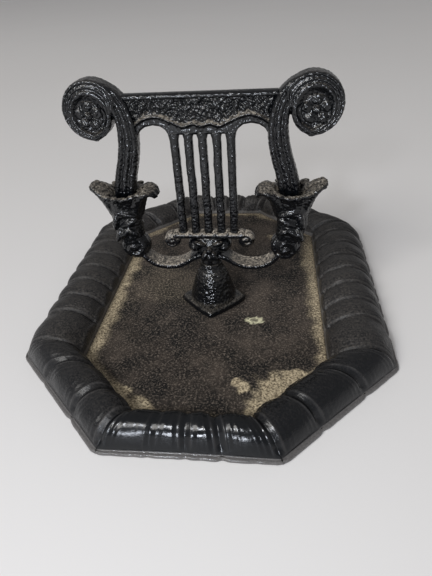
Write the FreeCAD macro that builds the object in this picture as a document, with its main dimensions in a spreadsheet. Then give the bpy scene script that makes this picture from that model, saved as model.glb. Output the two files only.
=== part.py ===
import FreeCAD, Part
import math
import os

import Sketcher
from FreeCAD import Placement, Rotation, Vector

os.makedirs("parts", exist_ok=True)
doc = FreeCAD.newDocument("lyre_boot_scraper")

# Frame: X is the width, Y the depth (front at -Y), Z up, and the origin is the middle of the
# rectangle that the tray stands on. Millimetres throughout.

SIZES = [
    # tray casting
    ("tray_width", 305, "across the two long sides"),
    ("tray_depth", 381, "front to back"),
    ("corner_cut", 89, "length that each cut corner takes off a side"),
    ("side_rim_width", 54.5, "long side, lip to floor"),
    ("corner_rim_width", 37.5, "cut corner, lip to floor"),
    ("end_rim_width", 28, "front and back, lip to floor"),
    ("side_rim_height", 27, "crest of the long sides"),
    ("end_rim_height", 24.5, "crest of the front and back"),
    ("side_crest_share", 0.48, "place of the crest across the long sides, from the lip"),
    ("end_crest_share", 0.6, "place of the crest across the front and back, from the lip"),
    ("rim_wall", 4.5, "thickness of the hollow rim"),
    ("lip_reach", 3, "flat lip outside the swell of the rim"),
    ("lip_height", 3, "thickness of that lip"),
    ("floor_top", 5, "height of the mud floor"),
    ("floor_thickness", 4, "tray floor plate"),
    # fixing screw, from below into the foot
    ("screw_radius", 4, "shank"),
    ("screw_head_radius", 7.5, "countersunk head"),
    ("screw_length", 26, "head face to tip"),
    ("screw_clearance", 0.15, "gap round the screw"),
    # lyre casting: foot, trunk and heart
    ("lyre_place", -19, "lyre plane, in front of the middle"),
    ("foot_diagonal", 30, "half diagonal of the square foot, turned 45 degrees"),
    ("foot_height", 6.5, "thickness of the foot"),
    ("trunk_base_radius", 20.5, "bell trunk on the foot"),
    ("trunk_waist_radius", 16.3, "bell trunk half way"),
    ("trunk_top_radius", 9.5, "bell trunk under the heart"),
    ("trunk_top", 46, "height of the trunk's top"),
    ("heart_half_width", 10, "block between the two tails"),
    ("frame_depth", 17, "front to back of the scrollwork"),
    # bridge, strings and crossbar
    ("bridge_top", 77.5, "height of the bridge that the strings stand on"),
    ("bridge_thickness", 5, "bridge bar"),
    ("bridge_depth", 12, "bridge bar and its curls, front to back"),
    ("curl_radius", 7, "curl at each end of the bridge"),
    ("curl_place", 32, "curl centre, from the middle"),
    ("string_pitch", 10.9, "string to string"),
    ("string_width", 6.9, "one string"),
    ("string_depth", 7.5, "one string, front to back"),
    ("string_top", 161.5, "where the strings run into the crossbar"),
    ("bar_top", 191, "scraping edge"),
    ("bar_half_length", 55.2, "half of the scraping edge"),
    ("bar_depth", 9, "crossbar, front to back"),
    ("arch_height", 167.9, "top of the opening beside the strings"),
    ("arm_gap", 49, "inner edge of an arm at the string tops, from the middle"),
    # arms and volutes
    ("arm_depth", 14, "arm, front to back"),
    ("arm_width", 16.3, "reeded arm"),
    ("arm_foot_place", 68, "arm centre where it stands in the horn"),
    ("volute_radius", 22, "outer turn of the volute"),
    ("volute_place", 81, "volute centre, from the middle"),
    ("volute_height", 180.7, "volute centre"),
    ("volute_tuck_radius", 14.8, "the same turn where it tucks in to the arm"),
    ("volute_depth", 16, "volute, front to back"),
    ("eye_place", 83.5, "centre of the sunk disc and rosette, from the middle"),
    ("eye_height", 177, "the same centre"),
    ("dish_radius", 13.5, "sunk disc in each face of the volute"),
    ("dish_sink", 3, "depth of that disc"),
    ("rosette_radius", 11, "rosette on the sunk disc"),
    ("rosette_height", 3.5, "rosette relief"),
    # horns
    ("mouth_top", 116, "height of the horn mouth"),
    ("mouth_bottom", 100, "where the mouth starts to flare"),
    ("mouth_half_width", 27, "mouth, half across"),
    ("mouth_half_depth", 14, "mouth, half front to back"),
    ("horn_radius", 13.5, "horn below the mouth"),
    ("horn_place", 68.5, "horn centre, from the middle"),
    ("horn_curl_radius", 12.5, "leaf curl at the bottom of the horn"),
    ("horn_curl_place", 65, "curl centre, from the middle"),
    ("horn_curl_height", 65, "curl centre"),
    ("horn_curl_depth", 22, "curl, front to back"),
    # tails
    ("tail_radius", 30, "outer radius of the tail's sweep"),
    ("tail_thickness", 5.5, "ribbon of the tail"),
    ("tail_place", 33, "centre of the sweep, from the middle"),
    ("tail_height", 73, "centre of the sweep"),
]

sheet = doc.addObject("Spreadsheet::Sheet", "Sizes")
for row, (alias, value, note) in enumerate(SIZES, start=1):
    sheet.set(f"A{row}", alias)
    sheet.set(f"B{row}", str(value))
    sheet.setAlias(f"B{row}", alias)
    sheet.set(f"C{row}", note)
doc.recompute()

nodes = {}
SIDES = {"left": -1, "right": 1}


def size(alias):
    """A driving dimension, read from the sheet."""
    return float(sheet.get(alias))


def bind(item, **formulas):
    """Ties properties of an object to the sheet. A double underscore stands for a dot."""
    for name, formula in formulas.items():
        item.setExpression(name.replace("__", "."), formula)


def keep(item, label):
    """Names a finished sub-part, which also names its file."""
    item.Label = label
    nodes[label] = item
    return item


def new_body(label, on_lyre=True):
    """A PartDesign body, standing in the lyre's plane unless it belongs to the tray."""
    body = doc.addObject("PartDesign::Body", "Body_" + label)
    if on_lyre:
        bind(body, Placement__Base__y="Sizes.lyre_place")
    return keep(body, label)


def new_sketch(body, name, plane):
    sketch = body.newObject("Sketcher::SketchObject", name)
    for feature in body.Origin.OriginFeatures:
        if feature.Role == plane:
            sketch.AttachmentSupport = (feature, [""])
    sketch.MapMode = "FlatFace"
    return sketch


def fix_point(sketch, place, formulas):
    """Holds one sketch point at two formulas, measured from the sketch's origin."""
    kinds = (("DistanceX", -2), ("DistanceY", -1))
    for (kind, axis), formula in zip(kinds, formulas):
        if formula == "0":
            sketch.addConstraint(Sketcher.Constraint("PointOnObject", *place, axis))
        else:
            value = float(sketch.evalExpression(formula))
            index = sketch.addConstraint(Sketcher.Constraint(kind, -1, 1, *place, value))
            sketch.setExpression(f"Constraints[{index}]", formula)


def polygon(sketch, corners):
    """A closed outline whose corners are pairs of formulas."""
    points = []
    for pair in corners:
        points.append(Vector(*[float(sketch.evalExpression(formula)) for formula in pair], 0))
    count = len(points)
    for index in range(count):
        sketch.addGeometry(Part.LineSegment(points[index], points[(index + 1) % count]), False)
    for index in range(count):
        following = (index + 1) % count
        sketch.addConstraint(Sketcher.Constraint("Coincident", index, 2, following, 1))
    for index, pair in enumerate(corners):
        fix_point(sketch, (index, 1), pair)


def circle(sketch, radius_formula, centre=("0", "0")):
    """A circle with its radius and centre tied to formulas."""
    radius = float(sketch.evalExpression(radius_formula))
    middle = Vector(*[float(sketch.evalExpression(formula)) for formula in centre], 0)
    index = sketch.addGeometry(Part.Circle(middle, Vector(0, 0, 1), radius), False)
    limit = sketch.addConstraint(Sketcher.Constraint("Radius", index, radius))
    sketch.setExpression(f"Constraints[{limit}]", radius_formula)
    if centre == ("0", "0"):
        sketch.addConstraint(Sketcher.Constraint("Coincident", index, 3, -1, 1))
    else:
        fix_point(sketch, (index, 3), centre)


def pad(body, sketch, length_formula, middle=False):
    feature = body.newObject("PartDesign::Pad", "Pad_" + body.Label)
    feature.Profile = sketch
    bind(feature, Length=length_formula)
    feature.Midplane = middle
    doc.recompute()
    return feature


def cylinder_across(name, radius, depth, place, height):
    """A cylinder whose axis runs front to back through the lyre's plane."""
    item = doc.addObject("Part::Cylinder", name)
    bind(item, Radius=radius, Height=depth)
    item.Placement = Placement(Vector(), Rotation(Vector(1, 0, 0), -90))
    bind(
        item,
        Placement__Base__x=place,
        Placement__Base__y=f"Sizes.lyre_place - ({depth}) / 2",
        Placement__Base__z=height,
    )
    return item


def cut(name, base, tool):
    item = doc.addObject("Part::Cut", name)
    item.Base = base
    item.Tool = tool
    return item


def shaped(label, shape):
    """A sub-part whose form is a free curve, set from its own shape."""
    item = doc.addObject("Part::Feature", "Shape_" + label)
    item.Shape = shape
    return keep(item, label)


# ---------------------------------------------------------------- tray floor

floor_bottom = "(Sizes.floor_top - Sizes.floor_thickness)"


def octagon(width, depth, cut_length):
    """Corners of a rectangle with cut corners, counter-clockwise, from the right side's front."""
    quarter = [(width, depth - cut_length), (width - cut_length, depth)]
    corners = []
    for across, along, flip in ((1, 1, 1), (-1, 1, -1), (-1, -1, 1), (1, -1, -1)):
        corners += [(across * x, along * y) for x, y in quarter[::flip]]
    return corners


def rim_corners():
    """Outer and inner corners of the rim: the inner ones lie where the floor's edges cross."""
    width, depth, cut_length = size("tray_width") / 2, size("tray_depth") / 2, size("corner_cut")
    inner_width = width - size("side_rim_width")
    inner_depth = depth - size("end_rim_width")
    diagonal = width + depth - cut_length - size("corner_rim_width") * math.sqrt(2)
    return octagon(width, depth, cut_length), octagon(
        inner_width, inner_depth, inner_width + inner_depth - diagonal
    )


inner_width = "(Sizes.tray_width / 2 - Sizes.side_rim_width)"
inner_depth = "(Sizes.tray_depth / 2 - Sizes.end_rim_width)"
inner_diagonal = (
    "(Sizes.tray_width / 2 + Sizes.tray_depth / 2 - Sizes.corner_cut"
    " - Sizes.corner_rim_width * sqrt(2))"
)
side_end = f"({inner_diagonal} - {inner_width})"
front_end = f"({inner_diagonal} - {inner_depth})"

plate = doc.addObject("PartDesign::Body", "FloorPlate")
plate_sketch = new_sketch(plate, "FloorOutline", "XY_Plane")
plate_sketch.setExpression("AttachmentOffset.Base.z", floor_bottom)
floor_corners = []
for across, along in ((1, 1), (-1, 1), (-1, -1), (1, -1)):
    pair = [
        (f"{across} * {inner_width}", f"{along} * {side_end}"),
        (f"{across} * {front_end}", f"{along} * {inner_depth}"),
    ]
    floor_corners += pair if across == along else pair[::-1]
polygon(plate_sketch, floor_corners)
pad(plate, plate_sketch, "Sizes.floor_thickness")

seat = doc.addObject("Part::Cone", "ScrewSeat")
bind(
    seat,
    Radius1="Sizes.screw_head_radius + Sizes.screw_clearance",
    Radius2="Sizes.screw_radius + Sizes.screw_clearance",
    Height="Sizes.floor_thickness",
    Placement__Base__y="Sizes.lyre_place",
    Placement__Base__z=floor_bottom,
)
keep(cut("FloorCut", plate, seat), "tray_floor")

# ------------------------------------------------------------------ tray rim

# The rim's lofts start this far below the ground and are sliced off flat at it.
GROUND_SLICE = 2

RIM_NAMES = [
    "rim_back_right", "rim_back", "rim_back_left", "rim_left",
    "rim_front_left", "rim_front", "rim_front_right", "rim_right",
]


def swell(start, crest, end, foot, top):
    """Two quarter ellipses, up from the outer foot to the crest and down to the inner foot."""
    steps = [index * math.pi / 12 for index in range(7)]
    outer_foot, inner_foot = foot
    rise = [
        (crest - (crest - start) * math.cos(angle), outer_foot + (top - outer_foot) * math.sin(angle))
        for angle in steps
    ]
    fall = [
        (crest + (end - crest) * math.sin(angle), inner_foot + (top - inner_foot) * math.cos(angle))
        for angle in steps
    ]
    return rise, fall


def curve(points):
    line = Part.BSplineCurve()
    line.interpolate(points)
    return line.toShape()


def rim_section(outer, inner, height, share, hollow):
    """One mitre section of the rim, standing on the line from an outer to an inner corner."""
    across = Vector(inner[0] - outer[0], inner[1] - outer[1], 0)
    reach = across.Length
    top = size("floor_top")
    bottom = top - size("floor_thickness")
    lip_reach, lip_height, wall = size("lip_reach"), size("lip_height"), size("rim_wall")
    crest = lip_reach + (reach - lip_reach) * share
    skirt, ledge = (lip_reach + wall, -GROUND_SLICE), (reach - wall, bottom)

    def point(place, level):
        return Vector(outer[0], outer[1], level) + across * (place / reach)

    if hollow:
        rise, fall = swell(skirt[0], crest, ledge[0], (-GROUND_SLICE, bottom), height - wall)
        around = [fall[-1], (ledge[0], -GROUND_SLICE), rise[0]]
    else:
        rise, fall = swell(lip_reach, crest, reach, (lip_height, top), height)
        toe = [skirt, (0, -GROUND_SLICE), (0, lip_height)]
        around = [fall[-1], (reach, bottom), ledge, *toe, rise[0]]
    edges = [curve([point(*pair) for pair in rise]), curve([point(*pair) for pair in fall])]
    for first, second in zip(around, around[1:]):
        edges.append(Part.LineSegment(point(*first), point(*second)).toShape())
    return Part.Wire(edges)


def rim_segment(name, first, second):
    """The stretch of rim between two corners, a ruled loft with its underside hollowed out."""
    outer, inner = rim_corners()
    lofts = []
    for hollow in (False, True):
        sections = [
            rim_section(outer[index], inner[index], *corner_swells[index], hollow)
            for index in (first, second)
        ]
        lofts.append(Part.makeLoft(sections, True, True))
    width, depth = size("tray_width"), size("tray_depth")
    ground = Part.makeBox(width, depth, GROUND_SLICE, Vector(-width / 2, -depth / 2, -GROUND_SLICE))
    shaped(name, lofts[0].cut(lofts[1]).cut(ground))


side_swell = (size("side_rim_height"), size("side_crest_share"))
end_swell = (size("end_rim_height"), size("end_crest_share"))
corner_swells = [side_swell, end_swell, end_swell, side_swell] * 2
for index, name in enumerate(RIM_NAMES):
    rim_segment(name, index, (index + 1) % 8)

# -------------------------------------------------------------- fixing screw

screw_head = doc.addObject("Part::Cone", "ScrewHead")
bind(
    screw_head,
    Radius1="Sizes.screw_head_radius",
    Radius2="Sizes.screw_radius",
    Height="Sizes.floor_thickness",
    Placement__Base__y="Sizes.lyre_place",
    Placement__Base__z=floor_bottom,
)
screw_shank = doc.addObject("Part::Cylinder", "ScrewShank")
bind(
    screw_shank,
    Radius="Sizes.screw_radius",
    Height="Sizes.screw_length - Sizes.floor_thickness",
    Placement__Base__y="Sizes.lyre_place",
    Placement__Base__z="Sizes.floor_top",
)
screw = doc.addObject("Part::Fuse", "Screw")
screw.Base = screw_head
screw.Tool = screw_shank
keep(screw, "fixing_screw")

# ------------------------------------------------- foot, trunk and heart

screw_hole = "(Sizes.screw_radius + Sizes.screw_clearance)"
screw_tip = "(Sizes.floor_top - Sizes.floor_thickness + Sizes.screw_length)"
foot_top = "(Sizes.floor_top + Sizes.foot_height)"
bridge_bottom = "(Sizes.bridge_top - Sizes.bridge_thickness)"

foot = new_body("lyre_foot")
foot_sketch = new_sketch(foot, "FootOutline", "XY_Plane")
foot_sketch.setExpression("AttachmentOffset.Base.z", "Sizes.floor_top")
polygon(foot_sketch, [
    ("Sizes.foot_diagonal", "0"), ("0", "Sizes.foot_diagonal"),
    ("-Sizes.foot_diagonal", "0"), ("0", "-Sizes.foot_diagonal"),
])
circle(foot_sketch, screw_hole)
pad(foot, foot_sketch, "Sizes.foot_height")

trunk = new_body("lyre_trunk")
trunk_sketch = new_sketch(trunk, "TrunkProfile", "XZ_Plane")
polygon(trunk_sketch, [
    (screw_hole, foot_top),
    ("Sizes.trunk_base_radius", foot_top),
    ("Sizes.trunk_waist_radius", f"({foot_top} + Sizes.trunk_top) / 2"),
    ("Sizes.trunk_top_radius", "Sizes.trunk_top"),
    ("0", "Sizes.trunk_top"),
    ("0", screw_tip),
    (screw_hole, screw_tip),
])
trunk_turn = trunk.newObject("PartDesign::Revolution", "TrunkTurn")
trunk_turn.Profile = trunk_sketch
trunk_turn.ReferenceAxis = (trunk_sketch, ["V_Axis"])
trunk_turn.Angle = 360

heart = new_body("lyre_heart")
heart_sketch = new_sketch(heart, "HeartOutline", "XZ_Plane")
polygon(heart_sketch, [
    ("Sizes.heart_half_width", "Sizes.trunk_top"),
    ("Sizes.heart_half_width", bridge_bottom),
    ("-Sizes.heart_half_width", bridge_bottom),
    ("-Sizes.heart_half_width", "Sizes.trunk_top"),
])
pad(heart, heart_sketch, "Sizes.frame_depth", middle=True)

# ------------------------------------------------ bridge, curls and strings

bridge_bar = doc.addObject("Part::Box", "BridgeBar")
bind(
    bridge_bar,
    Length="2 * Sizes.curl_place",
    Width="Sizes.bridge_depth",
    Height="Sizes.bridge_thickness",
    Placement__Base__x="-Sizes.curl_place",
    Placement__Base__y="Sizes.lyre_place - Sizes.bridge_depth / 2",
    Placement__Base__z=bridge_bottom,
)
curls = []
for side, sign in SIDES.items():
    curl = cylinder_across(
        "Curl_" + side, "Sizes.curl_radius", "Sizes.bridge_depth",
        f"{sign} * Sizes.curl_place", "Sizes.bridge_top - Sizes.curl_radius",
    )
    curls.append(keep(curl, "bridge_curl_" + side))
bridge_half = cut("BridgeHalf", bridge_bar, curls[0])
keep(cut("BridgeCut", bridge_half, curls[1]), "string_bridge")

for number in range(5):
    string = doc.addObject("Part::Box", f"String{number + 1}")
    bind(
        string,
        Length="Sizes.string_width",
        Width="Sizes.string_depth",
        Height="Sizes.string_top - Sizes.bridge_top",
        Placement__Base__x=f"{number - 2} * Sizes.string_pitch - Sizes.string_width / 2",
        Placement__Base__y="Sizes.lyre_place - Sizes.string_depth / 2",
        Placement__Base__z="Sizes.bridge_top",
    )
    keep(string, f"string_{number + 1}")

# ------------------------------------------------------------------ crossbar

strings_half = "(2 * Sizes.string_pitch + Sizes.string_width / 2)"
arch_middle = f"(({strings_half} + Sizes.arm_gap) / 2)"
arch_half = f"((Sizes.arm_gap - {strings_half}) / 2)"
arch_rise = "(Sizes.arch_height - Sizes.string_top)"
ARCH_STEPS = (-1, -0.85, -0.45, 0.45, 0.85, 1)


def arch_corner(sign, step):
    """A corner of the arched opening: step runs from the strings, -1, to the arm, 1."""
    rise = math.sqrt(1 - abs(step) ** 2.5)
    return (
        f"{sign} * ({arch_middle} + {step} * {arch_half})",
        f"Sizes.string_top + {rise:.3f} * {arch_rise}",
    )


bar = new_body("crossbar")
bar_sketch = new_sketch(bar, "BarOutline", "XZ_Plane")
polygon(
    bar_sketch,
    [arch_corner(-1, step) for step in reversed(ARCH_STEPS)]
    + [arch_corner(1, step) for step in ARCH_STEPS]
    + [("Sizes.bar_half_length", "Sizes.bar_top"), ("-Sizes.bar_half_length", "Sizes.bar_top")],
)
pad(bar, bar_sketch, "Sizes.bar_depth", middle=True)

# ---------------------------------------------------------- arms and volutes


def mirrored(points, sign):
    return [(sign * x, z) for x, z in points]


def slab(edges, depth):
    """A flat outline in the lyre's plane, given its depth front to back."""
    face = Part.Face(Part.Wire(Part.__sortEdges__(edges)))
    face.translate(Vector(0, size("lyre_place") - depth / 2, 0))
    return face.extrude(Vector(0, depth, 0))


def upright(points):
    return [Vector(x, 0, z) for x, z in points]


def volute_join():
    """The upright plane where an arm hands over to its volute, and its upper end."""
    place = size("arm_gap") + size("arm_width")
    offset = size("volute_place") - place
    return place, size("volute_height") + math.sqrt(size("volute_radius") ** 2 - offset ** 2)


def make_arm(side, sign):
    """The reeded arm: inner edge up to the crossbar's end, and outer edge up to the volute."""
    width, gap, foot_place = size("arm_width"), size("arm_gap"), size("arm_foot_place")
    join, join_top = volute_join()
    base, top = size("mouth_top"), size("string_top")
    span = top - base
    bend = []
    for step in (0, 0.35, 0.7, 1):
        lean = (1 - step) ** 1.4
        inner_foot = foot_place - width / 2
        bend.append((gap + (inner_foot - gap) * lean, base + span * step))
    inner = mirrored(bend, sign)
    outer = mirrored([(x + width, z) for x, z in bend], sign)
    corner = (sign * size("bar_half_length"), size("bar_top"))
    straight = [inner[-1], corner, (sign * join, join_top), outer[-1]]
    edges = [curve(upright(inner)), curve(upright(outer))]
    for first, second in list(zip(straight, straight[1:])) + [(inner[0], outer[0])]:
        edges.append(Part.LineSegment(*upright([first, second])).toShape())
    shaped("arm_" + side, slab(edges, size("arm_depth")))


def make_volute(side, sign):
    """The rolled end: a round turn that tightens towards the arm, sunk on both faces."""
    radius, place, height = size("volute_radius"), size("volute_place"), size("volute_height")
    join, join_top = volute_join()
    start = math.atan2(join_top - height, join - place)

    def on_turn(angle, reach):
        return (sign * (place + reach * math.cos(angle)), height + reach * math.sin(angle))

    bottom, tuck_angle = -math.pi / 2, math.radians(80)
    loss = size("volute_radius") - size("volute_tuck_radius")
    turn = [on_turn(start + (bottom - start) * share, radius) for share in (0, 0.5, 1)]
    tuck = [on_turn(bottom - tuck_angle * share, radius - loss * share) for share in (0, 0.35, 0.7, 1)]
    tuck.append((sign * join, tuck[-1][1] + size("dish_sink")))
    edges = [
        Part.Arc(*upright(turn)).toShape(),
        curve(upright(tuck)),
        Part.LineSegment(*upright([tuck[-1], (sign * join, join_top)])).toShape(),
    ]
    depth, sink = size("volute_depth"), size("dish_sink")
    solid = slab(edges, depth)
    for face_y in (size("lyre_place") - depth / 2, size("lyre_place") + depth / 2 - sink):
        dish = Part.makeCylinder(
            size("dish_radius"), sink,
            Vector(sign * size("eye_place"), face_y, size("eye_height")), Vector(0, 1, 0),
        )
        solid = solid.cut(dish)
    shaped("volute_" + side, solid)


for side, sign in SIDES.items():
    make_arm(side, sign)
    make_volute(side, sign)
    for face, facing in (("front", -1), ("back", 1)):
        rosette = doc.addObject("Part::Cone", f"Rosette_{side}_{face}")
        rosette.Placement = Placement(Vector(), Rotation(Vector(1, 0, 0), -90 * facing))
        bind(
            rosette,
            Radius1="Sizes.rosette_radius",
            Radius2="Sizes.rosette_radius / 2",
            Height="Sizes.rosette_height",
            Placement__Base__x=f"{sign} * Sizes.eye_place",
            Placement__Base__y=(
                f"Sizes.lyre_place + {facing} * (Sizes.volute_depth / 2 - Sizes.dish_sink)"
            ),
            Placement__Base__z="Sizes.eye_height",
        )
        keep(rosette, f"rosette_{side}_{face}")

# --------------------------------------------------------------------- horns

for side, sign in SIDES.items():
    horn_curl = cylinder_across(
        "HornCurl_" + side, "Sizes.horn_curl_radius", "Sizes.horn_curl_depth",
        f"{sign} * Sizes.horn_curl_place", "Sizes.horn_curl_height",
    )
    keep(horn_curl, "horn_curl_" + side)

    horn = doc.addObject("PartDesign::Body", "Horn_" + side)
    bind(horn, Placement__Base__y="Sizes.lyre_place")
    stations = [
        ("Sizes.horn_curl_height", "Sizes.horn_radius - 3", "Sizes.horn_curl_place"),
        ("(Sizes.horn_curl_height + Sizes.mouth_bottom) / 2", "Sizes.horn_radius - 1", "Sizes.horn_place"),
        ("Sizes.mouth_bottom", "Sizes.horn_radius", "Sizes.horn_place"),
    ]
    rings = []
    for number, (level, radius, place) in enumerate(stations):
        ring = new_sketch(horn, f"HornRing_{side}_{number}", "XY_Plane")
        ring.setExpression("AttachmentOffset.Base.z", level)
        circle(ring, radius, (f"{sign} * {place}", "0"))
        rings.append(ring)
    horn_loft = horn.newObject("PartDesign::AdditiveLoft", "HornLoft_" + side)
    horn_loft.Profile = rings[0]
    horn_loft.Sections = rings[1:]
    keep(cut("HornCut_" + side, horn, horn_curl), "horn_" + side)


def make_mouth(side, sign):
    """The flared mouth that the arm stands in: round at the horn, wide and oval at the top."""
    place, radius = sign * size("horn_place"), size("horn_radius")
    bottom, top = size("mouth_bottom"), size("mouth_top")
    rings = []
    for share, flare in ((0, 0), (0.5, 0.22), (0.85, 0.75), (1, 1)):
        half_width = radius + (size("mouth_half_width") - radius) * flare
        half_depth = radius + (size("mouth_half_depth") - radius) * flare
        middle = Vector(place, size("lyre_place"), bottom + (top - bottom) * share)
        across = middle + Vector(half_width + 0.01, 0, 0)
        oval = Part.Ellipse(across, middle + Vector(0, half_depth, 0), middle)
        rings.append(Part.Wire([oval.toShape()]))
    shaped("horn_mouth_" + side, Part.makeLoft(rings, True, False))


def make_tail(side, sign):
    """The ribbon that sweeps under from the horn's curl up to the heart."""
    place, height = size("tail_place"), size("tail_height")
    outer, inner = size("tail_radius"), size("tail_radius") - size("tail_thickness")
    heart_face = size("heart_half_width")
    edges, ends = [], []
    for reach in (outer, inner):
        start = math.acos((heart_face - place) / reach)
        stop = math.radians(20)
        arc = [
            (sign * (place + reach * math.cos(angle)), height - reach * math.sin(angle))
            for angle in (start, (start + stop) / 2, stop)
        ]
        edges.append(Part.Arc(*upright(arc)).toShape())
        ends.append((arc[0], arc[-1]))
    for first, second in zip(*ends):
        edges.append(Part.LineSegment(*upright([first, second])).toShape())
    solid = slab(edges, size("frame_depth"))
    curl = Part.makeCylinder(
        size("horn_curl_radius"), size("horn_curl_depth") * 2,
        Vector(sign * size("horn_curl_place"), size("lyre_place") - size("horn_curl_depth"),
               size("horn_curl_height")),
        Vector(0, 1, 0),
    )
    pieces = solid.cut(curl).Solids
    shaped("tail_" + side, min(pieces, key=lambda piece: sign * piece.CenterOfMass.x))


for side, sign in SIDES.items():
    make_mouth(side, sign)
    make_tail(side, sign)

# ------------------------------------------------------------ check and write

doc.recompute()
for item in doc.Objects:
    if {"Invalid", "Error"} & set(item.State):
        raise RuntimeError(f"{item.Label} failed: {item.State}")
for label, item in nodes.items():
    if item.Shape.isNull() or not item.Shape.isValid() or not item.Shape.Solids:
        raise RuntimeError(f"{label} has no valid solid")
for label, item in nodes.items():
    item.Shape.exportStep(f"parts/{label}.step")
whole = Part.makeCompound([item.Shape for item in nodes.values()])
box = whole.BoundBox
print(len(nodes), "sub-parts", [round(v, 2) for v in (box.XLength, box.YLength, box.ZMin, box.ZMax)])
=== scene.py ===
# %% [markdown]
# # A cast-iron lyre boot scraper, modelled and finished in Blender
#
# The real thing is two iron castings and a screw. A lyre, whose top bar scrapes the sole of a
# boot, stands in an eight-sided mud tray with a gadrooned rim: a rim of fat rounded lobes with
# narrow channels between them. The measured model of it is loaded first and never moves. Each
# piece made below takes its place from that model's boxes and stands for one or more of its nodes.

# %% Load the measured model
import math

import bmesh
import bpy
import numpy as np
from mathutils import Matrix, Vector, noise


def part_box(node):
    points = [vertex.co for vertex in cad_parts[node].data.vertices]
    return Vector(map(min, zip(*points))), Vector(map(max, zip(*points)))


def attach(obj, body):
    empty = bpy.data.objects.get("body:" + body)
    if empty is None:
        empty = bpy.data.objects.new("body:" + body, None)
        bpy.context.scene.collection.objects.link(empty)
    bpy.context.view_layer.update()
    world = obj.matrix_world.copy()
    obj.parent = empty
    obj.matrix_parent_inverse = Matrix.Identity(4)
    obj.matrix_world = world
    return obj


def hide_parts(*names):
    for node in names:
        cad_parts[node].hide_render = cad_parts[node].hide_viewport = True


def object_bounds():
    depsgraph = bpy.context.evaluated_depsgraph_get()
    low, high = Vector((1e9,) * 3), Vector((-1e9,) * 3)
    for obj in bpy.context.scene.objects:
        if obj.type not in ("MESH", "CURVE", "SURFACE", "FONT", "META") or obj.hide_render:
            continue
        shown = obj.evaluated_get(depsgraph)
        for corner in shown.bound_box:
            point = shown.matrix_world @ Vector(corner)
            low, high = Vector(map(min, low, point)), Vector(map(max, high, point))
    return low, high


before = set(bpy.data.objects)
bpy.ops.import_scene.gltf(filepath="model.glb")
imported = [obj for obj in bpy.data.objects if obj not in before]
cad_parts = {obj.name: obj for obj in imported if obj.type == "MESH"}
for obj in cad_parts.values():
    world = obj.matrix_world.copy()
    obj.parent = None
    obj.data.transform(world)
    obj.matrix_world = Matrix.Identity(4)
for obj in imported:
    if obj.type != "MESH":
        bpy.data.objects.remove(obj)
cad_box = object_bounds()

print(len(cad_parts), "nodes, box in metres:",
      [tuple(round(v, 4) for v in corner) for corner in cad_box])

# %% [markdown]
# Lengths below are in millimetres, because a founder's pattern is drawn in them, and become metres
# only when a mesh is made. `box_mm` reads a node's box, so a piece follows the measured model.

# %% Millimetres and node boxes
MM = 0.001


def box_mm(node):
    low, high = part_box(node)
    return np.array(low) / MM, np.array(high) / MM


tray_low, tray_high = [np.array(corner) / MM for corner in cad_box]
floor_low, floor_high = box_mm("tray_floor")
FLOOR_TOP = floor_high[2]
bar_low, bar_high = box_mm("crossbar")
LYRE_Y = (bar_low[1] + bar_high[1]) / 2
print("tray", (tray_high - tray_low).round(1), "mm, floor top at", round(FLOOR_TOP, 2),
      "and the lyre stands at y =", round(LYRE_Y, 2))

# %% [markdown]
# The camera stands in front of the tray, a little to its right and above it, and looks down about
# 35 degrees through a fairly wide lens. It is also tilted by a few degrees, as when held in one
# hand. Its three axes are worked out from those angles.

# %% Camera
CAMERA_PLACE = Vector((52.99, -373.11, 267.76)) * MM
YAW, PITCH, ROLL = math.radians(-8.10), math.radians(34.93), math.radians(-3.88)
FOCAL_LENGTH, SENSOR_WIDTH = 29.37, 36


def new_object(name, data):
    """An object that holds this data, linked to the scene."""
    thing = bpy.data.objects.new(name, data)
    bpy.context.scene.collection.objects.link(thing)
    return thing


looking = Vector((math.sin(YAW) * math.cos(PITCH), math.cos(YAW) * math.cos(PITCH), -math.sin(PITCH)))
level = Vector((math.cos(YAW), -math.sin(YAW), 0))
upward = level.cross(looking)
right = level * math.cos(ROLL) + upward * math.sin(ROLL)
upward = upward * math.cos(ROLL) - level * math.sin(ROLL)

lens = bpy.data.cameras.new("camera")
lens.lens, lens.sensor_width, lens.sensor_fit = FOCAL_LENGTH, SENSOR_WIDTH, "AUTO"
lens.clip_start, lens.clip_end = 0.01, 50
camera = new_object("camera", lens)
camera.matrix_world = Matrix((right, upward, -looking)).transposed().to_4x4()
camera.matrix_world.translation = CAMERA_PLACE
bpy.context.scene.camera = camera
print("camera", round(CAMERA_PLACE.length, 3), "m from the tray's middle")

# %% [markdown]
# ## How the pieces are made
#
# Nearly every part of a casting like this is a section carried along a path, so the main tool is
# `skin`: it takes a list of closed loops with the same number of points and stretches faces
# between them, then caps both ends. It is what a loft does, but every point is ours to move.

# %% Meshes from loops
def new_piece(name, points, faces):
    """A mesh object from points in millimetres, with its faces turned outwards."""
    mesh = bpy.data.meshes.new(name)
    mesh.from_pydata((np.asarray(points, float) * MM).tolist(), [], faces)
    work = bmesh.new()
    work.from_mesh(mesh)
    bmesh.ops.recalc_face_normals(work, faces=work.faces)
    work.to_mesh(mesh)
    work.free()
    mesh.shade_smooth()
    return new_object(name, mesh)


def skin(name, loops):
    """A closed skin over loops, an array of loop x point x 3, capped at both ends."""
    loops = np.asarray(loops, float)
    count, around = loops.shape[:2]
    here = np.arange(around)
    after = np.roll(here, -1)
    faces = []
    for row in range(count - 1):
        base = row * around
        faces += np.stack(
            [base + here, base + after, base + around + after, base + around + here], axis=1
        ).tolist()
    faces += [here[::-1].tolist(), (here + (count - 1) * around).tolist()]
    return new_piece(name, loops.reshape(-1, 3), faces)


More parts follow.
